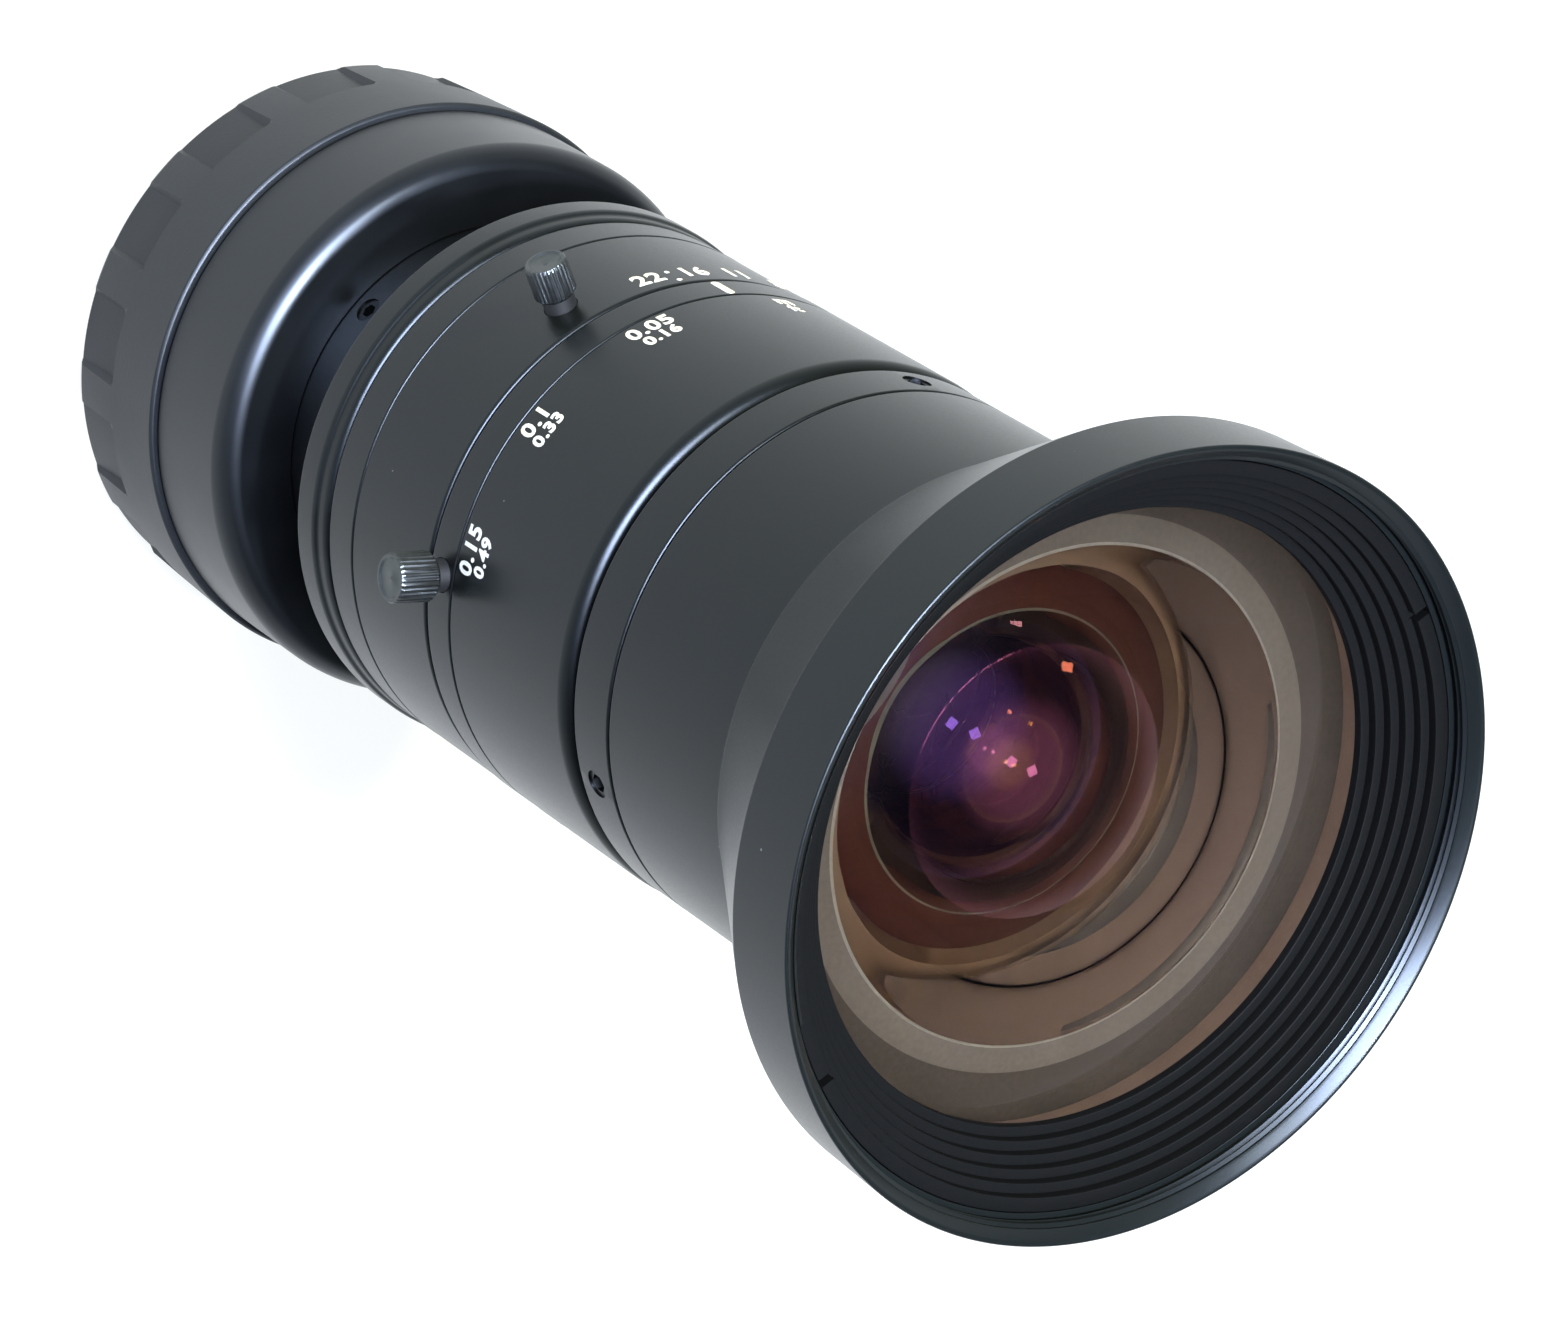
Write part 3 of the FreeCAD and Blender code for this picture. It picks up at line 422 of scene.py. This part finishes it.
# Main barrel: one turned piece that carries all the rings, with a polished neck and a rear lip.
# The neck has three small set screws, and a hexagon key reaches them from the side.
# Satin anodise: matt glass beading under the dye gives a soft, slightly blue-grey black.
satin_anodised, tree, where = new_material("satin_black_anodised_aluminium")
clouds = noise(tree, where, scale=90.0, detail=4.0)
# Beads of 0.05 mm would not show, so the grain is drawn at about 0.15 mm.
beads = noise(tree, where, scale=6600.0, detail=1.0)
turning = tool_marks(tree, where, scale=2600.0, distortion=1.0)
beaded_turning = add_node(
    tree, "ShaderNodeMix", values={"Factor": 0.35}, links={"A": beads, "B": turning}
)
# Specks of dust, 0.1 mm across and about 4 mm apart, catch the light here and there.
specks = add_node(tree, "ShaderNodeTexVoronoi", values={"Scale": 260.0}, links={"Vector": where})
dusty = add_node(
    tree,
    "ShaderNodeMapRange",
    values={"From Min": 0.020, "From Max": 0.012, "To Min": 0.0, "To Max": 0.55},
    links={"Value": specks.outputs["Distance"]},
)
tone = add_node(
    tree,
    "ShaderNodeMix",
    {"data_type": "RGBA"},
    {"B": linear("9aa3a8")},
    {"A": blend(tree, clouds, "0a0d0e", "101415"), "Factor": dusty.outputs["Result"]},
)
lay_surface(
    tree,
    {"IOR": 1.33, "Specular Tint": linear("dce9f6")},
    {
        "Base Color": tone.outputs["Result"],
        "Roughness": between(tree, beads, 0.26, 0.34),
        "Normal": bump(tree, beaded_turning.outputs["Result"], strength=0.16, depth=0.008),
    },
)


def carve(bm, cutters):
    """Takes closed cutters away from a closed mesh and frees them."""
    blank = put_in_scene(bm, "blank")
    spares = [blank]
    for cutter in cutters:
        tool = put_in_scene(cutter, "cutter")
        cutter.free()
        cut = blank.modifiers.new("cut", "BOOLEAN")
        cut.operation = "DIFFERENCE"
        cut.solver = "EXACT"
        cut.object = tool
        spares.append(tool)
    scene_graph = bpy.context.evaluated_depsgraph_get()
    carved = bpy.data.meshes.new_from_object(blank.evaluated_get(scene_graph))
    bm.clear()
    bm.from_mesh(carved)
    for spare in spares:
        bpy.data.objects.remove(spare)


def point_outwards(bm, bearing, height, radius):
    """Turns a shape drawn along Z so that it points away from the lens axis, at a radius."""
    bm.transform(Matrix.Rotation(math.radians(90), 4, "Y"))
    bm.transform(Matrix.Translation((radius * mm, 0, height * mm)))
    bm.transform(Matrix.Rotation(angle_of(bearing), 4, "Z"))


def drill(bm, bearings, height, radius, inner, outer):
    """Cuts round radial holes, from an inner to an outer distance, through a closed mesh."""
    bits = []
    for bearing in bearings:
        bit = bmesh.new()
        bmesh.ops.create_cone(
            bit,
            cap_ends=True,
            segments=40,
            radius1=radius * mm,
            radius2=radius * mm,
            depth=(outer - inner) * mm,
        )
        point_outwards(bit, bearing, height, (outer + inner) / 2)
        bits.append(bit)
    carve(bm, bits)


bm = spun(
    [
        (10.4, 10.92, 0),
        (11.5, 10.92, 0),
        (11.5, 22.85, 0.08),
        (14.85, 22.85, 0.25),
        (14.85, 24.6, 0.2),
        (14.65, 24.8, 0.1),
        (14.65, 25.65, 0.45),
        (13.4, 25.65, 0),
        (13.4, 39.325, 0),
        (12.95, 39.325, 0),
        (12.95, 39.725, 0),
        (13.4, 39.725, 0),
        (13.4, 40.8, 0),
        (12.3, 40.8, 0),
        (12.3, 47.6, 0),
        (11.65, 47.6, 0),
        (11.65, 29.0, 0),
        (10.4, 29.0, 0),
    ]
)
drill(bm, bearings=(48.4, 168.4, 288.4), height=17.6, radius=0.72, inner=10.0, outer=12.0)
# The neck is polished before it is anodised, from the flange to the rear face of the lip.
neck_inside, neck_rear, neck_front = 11.0, 10.9, 22.8
for face in bm.faces:
    middle = face.calc_center_median() / mm
    if neck_rear < middle.z < neck_front and middle.xy.length > neck_inside:
        face.material_index = 1
barrel_finishes = [satin_anodised, gloss_anodised]
finish_piece(
    bm, "main_barrel_turned", "lens_body", barrel_finishes, "main_barrel"
)

# Iris ring: a plain turned ring with the f-numbers engraved near its front edge.
# The engraving is filled with white paint, which stands a hair proud of the anodise.
paint, tree, where = new_material("white_engraving_paint")
streaks = noise(tree, where, scale=3000.0, detail=2.0)
lay_surface(tree, {"Roughness": 0.55}, {"Base Color": blend(tree, streaks, "d4d9db", "f4f7f7")})


def wrap(bm, radius, bearing, height):
    """Bends a flat drawing round the barrel: its right side leads back towards the index mark,
    its top towards the cap."""
    for vertex in bm.verts:
        turn = angle_of(bearing) - vertex.co.x / (radius * mm)
        out = radius * mm + vertex.co.z
        vertex.co = Vector((math.cos(turn) * out, math.sin(turn) * out, height * mm - vertex.co.y))


def engrave(name, words, size, radius, bearing, height, body):
    """Writes painted figures of that size in millimetres, centred on a bearing and a height.
    A figure takes up 0.71 of the font's full height, and it is squeezed a little."""
    figure_share, squeeze, paint_lift = 0.71, 0.94, 0.008
    curve = bpy.data.curves.new(name, "FONT")
    curve.body = words
    curve.size = size / figure_share * mm
    curve.offset = 0.045 * mm
    curve.extrude = 0.012 * mm
    curve.resolution_u = 3
    curve.align_x = "CENTER"
    curve.space_character = 1.1
    writing = bpy.data.objects.new(name + "_curve", curve)
    bpy.context.scene.collection.objects.link(writing)
    scene_graph = bpy.context.evaluated_depsgraph_get()
    flat = bpy.data.meshes.new_from_object(writing.evaluated_get(scene_graph))
    bpy.data.objects.remove(writing)
    bm = bmesh.new()
    bm.from_mesh(flat)
    bmesh.ops.remove_doubles(bm, verts=bm.verts, dist=merge_distance)
    bmesh.ops.triangulate(bm, faces=[face for face in bm.faces if len(face.verts) > 4])
    bmesh.ops.scale(bm, verts=bm.verts, vec=(squeeze, 1, 1))
    bmesh.ops.translate(bm, verts=bm.verts, vec=(0, -size / 2 * mm, 0))
    wrap(bm, radius + paint_lift, bearing, height)
    bmesh.ops.recalc_face_normals(bm, faces=bm.faces)
    finish_piece(bm, name, body, [paint])


iris_radius = 14.65
iris_lock_bearing, iris_lock_height = 28.6, 33.2
bm = spun(
    [
        (13.45, 25.8, 0),
        (14.6, 25.8, 0.2),
        (iris_radius, 28.3, 0.14),
        (14.48, 28.3, 0),
        (14.48, 28.4, 0),
        (14.63, 28.4, 0.02),
        (iris_radius, 35.75, 0.22),
        (13.45, 35.75, 0),
    ]
)
drill(bm, [iris_lock_bearing], iris_lock_height, radius=0.9, inner=13.0, outer=15.0)
finish_piece(
    bm, "iris_ring_turned", "iris_control", [satin_anodised], "iris_ring"
)
f_number_size, f_number_pitch, f_number_height = 1.2, 10.6, 34.25
for place, number in enumerate(("22", "16", "11", "8", "5.6", "4", "2.8", "2")):
    name = "f_number_" + number.replace(".", "_")
    bearing = f_number_pitch * (1 - place)
    engrave(
        name, number, f_number_size, iris_radius, bearing, f_number_height, "iris_control"
    )


def engrave_stroke(name, body, length, width, radius, bearing, height):
    """Paints one stroke with round ends that runs along the lens axis."""
    paint_lift, paint_depth = 0.001, 0.02
    bm = bmesh.new()
    bmesh.ops.create_circle(bm, cap_ends=True, segments=24, radius=width / 2 * mm)
    for vertex in bm.verts:
        vertex.co.y += math.copysign((length - width) / 2 * mm, vertex.co.y)
    bmesh.ops.solidify(bm, geom=bm.faces[:], thickness=-paint_depth * mm)
    wrap(bm, radius + paint_lift, bearing, height)
    bmesh.ops.recalc_face_normals(bm, faces=bm.faces)
    finish_piece(bm, name, body, [paint])


# Two dots stand between 22 and 16.
for name, height in (("iris_dot_34", 34.0), ("iris_dot_35", 35.2)):
    engrave_stroke(
        name,
        "iris_control",
        length=0.3,
        width=0.28,
        radius=iris_radius,
        bearing=5.4,
        height=height,
    )

# Iris lock screw and focus lock screw: small thumbscrews turned from blackened brass.
# The straight knurl was rolled on before blackening, and wear shows lighter on the teeth.
knob_metal, tree, where = new_material("blackened_knurled_brass")
wear = noise(tree, where, scale=2400.0, detail=3.0)
lay_surface(
    tree,
    {"Metallic": 0.6},
    {
        "Base Color": blend(tree, wear, "1a1d1f", "34393b"),
        "Roughness": between(tree, wear, 0.3, 0.42),
    },
)

# The turned end of a thumbscrew: the blackening has rubbed thin and grey metal shows through.
worn_end, tree, where = new_material("rubbed_blackened_brass")
rub = noise(tree, where, scale=1500.0, detail=4.0)
lay_surface(
    tree,
    {"Metallic": 0.7, "Roughness": 0.3},
    {"Base Color": blend(tree, rub, "2e3335", "484e50")},
)

# The shank and the head's underside are blackened brass with a film of oil and a dull gleam, painted nearly
# pure black as painted shade under the head.
shank_painted_shade, tree, where = new_material("blackened_brass_painted_shade_under_head")
film = noise(tree, where, scale=1800.0, detail=2.0)
lay_surface(
    tree,
    {"Roughness": 0.6, "IOR": 1.4},
    {"Base Color": blend(tree, film, "050607", "0c0e0f")},
)


def thumbscrew(name, body, node, bearing, height, seat, shank_end, head, length):
    """One lock screw: a knurled head on its plain shank. Seat and shank end are distances from
    the lens axis, head is the head's radius."""
    shank, lift, teeth, tooth_depth = 0.85, 0.7, 30, 0.06
    end = lift + length
    bm = spun(
        [
            (0, shank_end - seat, 0),
            (shank, shank_end - seat, 0),
            (shank, lift, 0),
            (head - 0.2, lift, 0),
            (head, lift + 0.2, 0),
            (head, end - 0.16, 0),
            (head - 0.1, end, 0),
            (head - 0.22, end, 0),
            (head - 0.34, end - 0.1, 0),
            (0.16, end - 0.14, 0),
            (0, end - 0.06, 0),
        ],
        steps=teeth * 4,
        closed=False,
    )
    # Each pitch of the knurl is a groove from 0.3 to 0.9 of its width and a tooth beside it.
    for vertex in bm.verts:
        out = vertex.co.xy.length / mm
        in_pitch = math.degrees(math.atan2(vertex.co.y, vertex.co.x)) * teeth / 360 % 1
        if out > head - 0.05 and 0.3 < in_pitch < 0.9:
            vertex.co.xy *= 1 - tooth_depth / out
    # The end face takes the rubbed finish, and the shank and the head's underside take the painted shade.
    for face in bm.faces:
        up = face.calc_center_median().z / mm
        face.material_index = 1 if up > end - 0.15 else 2 if up < lift + 0.01 else 0
    bmesh.ops.recalc_face_normals(bm, faces=bm.faces)
    point_outwards(bm, bearing, height, seat)
    finishes = [knob_metal, worn_end, shank_painted_shade]
    finish_piece(bm, name, body, finishes, node, crease=30)


thumbscrew(
    "iris_thumbscrew",
    "iris_lock",
    "iris_lock_screw",
    iris_lock_bearing,
    iris_lock_height,
    seat=iris_radius,
    shank_end=13.46,
    head=1.12,
    length=2.05,
)
focus_radius = 14.7
focus_lock_bearing, focus_lock_height = 88.5, 37.075
thumbscrew(
    "focus_thumbscrew",
    "focus_lock",
    "focus_lock_screw",
    focus_lock_bearing,
    focus_lock_height,
    seat=focus_radius,
    shank_end=14.06,
    head=1.3,
    length=2.3,
)

# Index ring: a narrow turned ring fixed on the barrel between the iris ring and the focus ring.
# Its white index line is what both scales are read against.
bm = spun(
    [
        (13.42, 36.0, 0),
        (focus_radius, 36.0, 0.12),
        (focus_radius, 38.15, 0.12),
        (14.05, 38.15, 0),
        (14.05, 36.6, 0),
        (13.42, 36.6, 0),
    ]
)
drill(bm, [focus_lock_bearing], focus_lock_height, radius=0.9, inner=13.2, outer=15.2)
finish_piece(
    bm, "index_ring_turned", "lens_body", [satin_anodised], "index_ring"
)
engrave_stroke(
    "index_line",
    "lens_body",
    length=1.85,
    width=0.5,
    radius=focus_radius,
    bearing=0,
    height=37.12,
)

# Focus ring: the widest turned ring, with the distance scale engraved round its rear edge.
# Metres are in the upper row, and feet in smaller figures below them.
bm = spun(
    [
        (13.45, 36.7, 0),
        (14.0, 36.7, 0.05),
        (14.0, 38.25, 0),
        (focus_radius, 38.25, 0.1),
        (focus_radius, 49.3, 0.8),
        (13.45, 49.3, 0),
        (13.45, 39.775, 0),
        (13.95, 39.775, 0),
        (13.95, 39.275, 0),
        (13.45, 39.275, 0),
    ]
)
finish_piece(
    bm, "focus_ring_turned", "focus_control", [satin_anodised], "focus_ring"
)
# Each distance is written in metres and in feet at its bearing. Each row has its size and height.
distances = [
    ("0.05", "0.16", 22.1),
    ("0.1", "0.33", 52.1),
    ("0.15", "0.49", 80.4),
    ("0.3", "0.98", 150.0),
    ("∞", "∞", 176.0),
    ("m", "ft", -9.0),
]
rows = [("metres_", 1.06, 39.1), ("feet_", 0.84, 40.3)]
for *figures, bearing in distances:
    place = "%03d" % round(bearing % 360)
    for figure, (unit, size, height) in zip(figures, rows):
        engrave(unit + place, figure, size, focus_radius, bearing, height, "focus_control")

# Clamp ring: a plain turned ring locked on the sleeve by three set screws.
# It holds the front barrel at its place, and each screw sits in a clean drilled hole.
bm = spun(
    [
        (13.42, 49.9, 0),
        (14.6, 49.9, 0.15),
        (14.6, 53.0, 0.15),
        (13.42, 53.0, 0),
    ]
)
drill(bm, bearings=(-8.6, 111.4, 231.4), height=51.45, radius=0.75, inner=13.0, outer=15.0)
finish_piece(
    bm, "clamp_ring_turned", "front_group", [satin_anodised], "clamp_ring"
)

# Set screws: black oxide steel with hexagon sockets, in the neck and in the clamp ring.
# The oxide is thin, so the steel keeps a dull metal gleam under it.
black_oxide, tree, where = new_material("black_oxide_steel")
bloom = noise(tree, where, scale=1200.0, detail=3.0)
lay_surface(
    tree,
    {"Metallic": 1.0},
    {
        "Base Color": blend(tree, bloom, "1c1d1e", "2e3032"),
        "Roughness": between(tree, bloom, 0.3, 0.45),
    },
)


def coat(material, *names):
    """Gives CAD pieces, whose shapes are right as they are, their finish."""
    for name in names:
        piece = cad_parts[name]
        if not piece.material_slots:
            piece.data.materials.append(material)
        for held in piece.material_slots:
            held.material = material


coat(black_oxide, "neck_set_screws", "clamp_ring_set_screws", "iris_drive_screw")
coat(black_oxide, "focus_key", "focus_snap_ring")

# Front barrel: the biggest turned piece, a straight barrel that flares to the rim.
# The rim has a filter thread inside its mouth, and the seats of the front glasses below it.
# Behind the thread it is sprayed matt black: a dead, slightly grainy black that kills stray light.
matt_black, tree, where = new_material("matt_black_lens_paint")
spray = noise(tree, where, scale=5200.0, detail=2.0)
lay_surface(
    tree,
    {"Roughness": 0.6, "IOR": 1.45, "Specular IOR Level": 0.07},
    {
        "Base Color": blend(tree, spray, "030404", "060708"),
        "Normal": bump(tree, spray, strength=0.3, depth=0.01),
    },
)

# Round the glasses the barrel has black lens lacquer in place of paint. Its orange-brown is painted light:
# a painted amber reflection, in patches, that stands for what the glass coatings throw on it.
lacquer, tree, where = new_material("black_lens_lacquer_painted_amber_light")
painted_amber_patches = noise(tree, where, scale=300.0, detail=3.0)
lay_surface(tree, {"Roughness": 0.35}, {"Base Color": blend(tree, painted_amber_patches, "4c3626", "5e4632")})

bm = spun(
    [
        (13.42, 53.12, 0),
        (14.6, 53.12, 0.15),
        (14.6, 62.92, 0.05),
        (20.0, 72.57, 0.05),
        (20.15, 77.2, 0.12),
        (19.93, 77.2, 0.12),
        (19.5, 76.8, 0.2),
        (19.42, 76.7, 0),
        (19.42, 75.8, 0),
        (19.0, 75.8, 0.03),
        (19.0, 72.6, 0),
        (16.25, 72.6, 0),
        (16.25, 67.07, 0),
        (14.4, 67.07, 0.1),
        (14.4, 66.1, 0),
        (12.62, 66.1, 0),
        (12.62, 60.97, 0),
        (10.02, 60.97, 0),
        (10.02, 56.77, 0),
        (8.4, 56.77, 0),
        (8.4, 56.02, 0),
        (13.42, 56.02, 0),
    ],
    steps=320,
)
thread(bm, root=19.46, crest=19.25, start=75.98, end=76.72, pitch=0.36, steps=128)
# Paint and lacquer cover the inside walls, and above the front glass's seat these lie further out.
# Below the front glass's seat the walls take the lacquer, with its painted amber light.
coat_rear, lacquer_front, paint_front = 56.5, 67.2, 75.7
seat_radius, seat_height, mouth_radius = 14.45, 67.0, 19.2
for face in bm.faces:
    middle = face.calc_center_median() / mm
    inside = min(mouth_radius, seat_radius + 2 * max(0, middle.z - seat_height))
    if coat_rear < middle.z < paint_front and middle.xy.length < inside:
        face.material_index = 2 if middle.z < lacquer_front else 1
front_finishes = [satin_anodised, matt_black, lacquer]
finish_piece(
    bm, "front_barrel_turned", "front_group", front_finishes, "front_barrel"
)

# Front retaining ring: a screwed ring, stepped inside to trap stray light, that holds the glass.
# Two narrow slots take the spanner. It has the same matt black paint, sprayed after turning.
ring_face_radius, ring_face_height = 18.2, 75.8
step_count, step_width, step_height = 5, 0.5, 0.53
outline = [
    (15.7, 72.6, 0),
    (18.95, 72.6, 0),
    (18.95, ring_face_height, 0.05),
    (ring_face_radius, ring_face_height, 0.04),
]
for step in range(step_count):
    radius = ring_face_radius - step_width * step
    height = ring_face_height - step_height * (step + 1)
    outline.append((radius, height, 0))
    outline.append((radius - step_width, height, 0.04))
bm = spun(outline, steps=320)
slot_size, slot_radius = (1.6, 0.45, 1.2), 18.9
for bearing in (123, 303):
    slot = bmesh.new()
    bmesh.ops.create_cube(slot, size=mm)
    bmesh.ops.scale(slot, verts=slot.verts, vec=slot_size)
    slot.transform(Matrix.Translation((slot_radius * mm, 0, ring_face_height * mm)))
    slot.transform(Matrix.Rotation(angle_of(bearing), 4, "Z"))
    carve(bm, [slot])
finish_piece(
    bm, "front_ring_turned", "front_group", [matt_black], "front_retaining_ring"
)

# Front glass: a deep meniscus, ground flat and blackened round its hollow rear side.
# Its thin coatings leave magenta reflections on the hollow side.


def coated_glass(name, cast, tint="fffdf8"):
    """Polished glass whose coating gives its reflections a cast, with the faintest smears."""
    material, tree, where = new_material(name)
    smears = noise(tree, where, scale=120.0, detail=3.0)
    lay_surface(
        tree,
        {
            "Base Color": linear(tint),
            "IOR": 1.6,
            "Transmission Weight": 1.0,
            "Specular Tint": linear(cast),
        },
        {"Roughness": between(tree, smears, 0.0, 0.012)},
    )
    return material


# Single film of magnesium fluoride: a faint purple reflection.
clear_coating = coated_glass("glass_with_magnesium_fluoride_film", "8d7d96", tint="fffaf2")
# Film tuned for green light: it reflects violet.
violet_coating = coated_glass("glass_with_violet_reflecting_film", "b87cff")
# Film tuned for blue-green light: it reflects magenta.
magenta_coating = coated_glass("glass_with_magenta_reflecting_film", "ff8abc")
# Film tuned for blue light: it reflects orange.
orange_coating = coated_glass("glass_with_orange_reflecting_film", "ffae62")


def ground_glass(name, darker, lighter):
    """Ground glass with blackening behind it, in an even painted tone that stands for the light its
    coatings reflect, with the faint grain of grinding.
    """
    material, tree, where = new_material(name)
    grinding = noise(tree, where, scale=3500.0, detail=2.0)
    lay_surface(
        tree,
        {"Roughness": 0.7, "Specular IOR Level": 0.1},
        {"Base Color": blend(tree, grinding, darker, lighter)},
    )
    return material


# The flat round the hollow is ground and blackened. Its grey-brown is a painted reflection of the coatings,
# painted darker where the barrel's lacquer backs it.
ground_flat = ground_glass("ground_blackened_glass_painted_taupe_reflection", "48423a", "554e45")
ground_rim = ground_glass("ground_lacquered_glass_painted_brown_reflection", "2d2721", "38312a")
# Deeper in, the flats of the smaller glasses are painted a redder brown, a painted reflection of their
# coatings.
ground_inner = ground_glass("ground_glass_painted_red_brown_reflection", "452419", "522c1f")
# The cylinder of the edge lies in shade. Its colour is painted light, a lighter brown that stands for light
# reaching it through the coatings, so it still looks dark brown.
ground_edge = ground_glass("ground_glass_edge_painted_brown_light", "56453a", "665345")
# A narrow bevel takes the sharp corner off the hollow. Its lighter colour is a painted highlight.
ground_bevel = ground_glass("ground_bevel_painted_highlight", "6e685e", "7e786c")


def on_sphere(edge_radius, edge_height, curve, bulge, radius):
    """Height of a spherical face at a radius. Bulge is 1 towards the front glass, -1 towards
    the cap."""
    centre = edge_height - bulge * math.sqrt(curve * curve - edge_radius * edge_radius)
    return centre + bulge * math.sqrt(curve * curve - radius * radius)


def lens_element(name, body, node, edge_radius, front, rear, coatings, flat, lacquered=math.inf):
    """A polished element. Front and rear are (clear radius, edge height, curve, bulge).
    Its flat is backed by lacquer outside the last radius."""
    points, bevel = 36, 0.13
    front_clear, front_height = front[:2]
    rear_clear, rear_height, _, rear_bulge = rear
    outline = []
    for k in range(points + 1):
        radius = front_clear * k / points
        outline.append((radius, on_sphere(*front, radius), 0))
    outline += [(edge_radius, front_height, 0), (edge_radius, rear_height, 0)]
    if rear_clear + bevel < lacquered < edge_radius:
        outline.append((lacquered, rear_height, 0))
    outline.append((rear_clear + bevel, rear_height, 0))
    for k in range(points, -1, -1):
        radius = rear_clear * k / points
        height = on_sphere(*rear, radius)
        if rear_bulge > 0:
            height = max(height, rear_height + bevel / 2)
        outline.append((radius, height, 0))
    bm = spun(outline, steps=192, closed=False)

    finishes = [*coatings, flat, ground_edge, ground_bevel, ground_rim]
    rear_face, flat_face, edge_face, bevel_face, rim_face = range(1, len(finishes))
    for face in bm.faces:
        middle = face.calc_center_median() / mm
        out = middle.xy.length
        to_rear = abs(middle.z - on_sphere(*rear, min(out, rear_clear)))
        to_front = abs(middle.z - on_sphere(*front, min(out, front_clear)))
        if abs(face.normal.z) < 0.02:  # only the cylinder of the edge looks straight out
            face.material_index = edge_face
        elif out > rear_clear and middle.z < rear_height + bevel:
            ground = rim_face if out > lacquered else flat_face
            face.material_index = bevel_face if out < rear_clear + bevel else ground
        elif out < rear_clear and to_rear < to_front:
            face.material_index = rear_face
    finish_piece(bm, name, body, finishes, node, crease=20)


lens_element(
    "front_glass",
    "front_group",
    "front_element",
    edge_radius=16.2,
    front=(16.06, 72.6, 62.0, 1),
    rear=(12.05, 67.1, 17.0, 1),
    coatings=[clear_coating, magenta_coating],
    flat=ground_flat,
    lacquered=13.5,
)

# Second and third glasses: smaller elements deep in the front barrel, each under its own ring.
# They give the violet and orange reflections in the middle of the lens.
lens_element(
    "second_glass",
    "front_group",
    "second_element",
    edge_radius=12.6,
    front=(11.5, 64.3, 26.0, 1),
    rear=(8.6, 61.0, 10.2, 1),
    coatings=[violet_coating, orange_coating],
    flat=ground_inner,
)
lens_element(
    "third_glass",
    "front_group",
    "third_element",
    edge_radius=10.0,
    front=(9.0, 59.4, 14.0, 1),
    rear=(8.4, 56.8, 60.0, 1),
    coatings=[magenta_coating, clear_coating],
    flat=ground_inner,
)
# The rings round these glasses take the lacquer too, with its painted amber light.
coat(lacquer, "second_retaining_ring", "third_retaining_ring")
coat(matt_black, "helicoid_sleeve")

# Middle cell: the fixed tube in the middle of the lens, with the fourth glass and its ring.
# Both metal pieces are sprayed matt black.
lens_element(
    "fourth_glass",
    "lens_body",
    "fourth_element",
    edge_radius=9.4,
    front=(8.4, 41.02, 24.0, 1),
    rear=(7.6, 38.82, 24.0, -1),
    coatings=[clear_coating, clear_coating],
    flat=ground_inner,
)
coat(matt_black, "middle_cell", "fourth_retaining_ring")

# Iris: a base plate, six thin steel blades, the cam ring that moves them and the retainer over it.
# The blades are coated dull black, so they slide dry and reflect nothing.
blade_black, tree, where = new_material("dry_film_coated_spring_steel")
film = noise(tree, where, scale=900.0, detail=4.0)
lay_surface(
    tree,
    {"Metallic": 0.3},
    {
        "Base Color": blend(tree, film, "121314", "1d1e20"),
        "Roughness": between(tree, film, 0.45, 0.6),
    },
)
coat(blade_black, *["iris_blade_%d" % number for number in range(1, 7)])
coat(matt_black, "iris_base_plate", "iris_cam_ring", "iris_retainer")

# Rear cell: a tube screwed in from behind, with the cemented pair, the last two glasses and rings.
# It shows when the dust cap is off.
coat(matt_black, "rear_cell", "fifth_retaining_ring", "rear_spacer", "rear_retaining_ring")
coat(clear_coating, "fifth_element_rear", "fifth_element_front", "sixth_element", "seventh_element")

size = {"cad": [list(corner) for corner in cad_box], "visual": [list(corner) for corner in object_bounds()]}
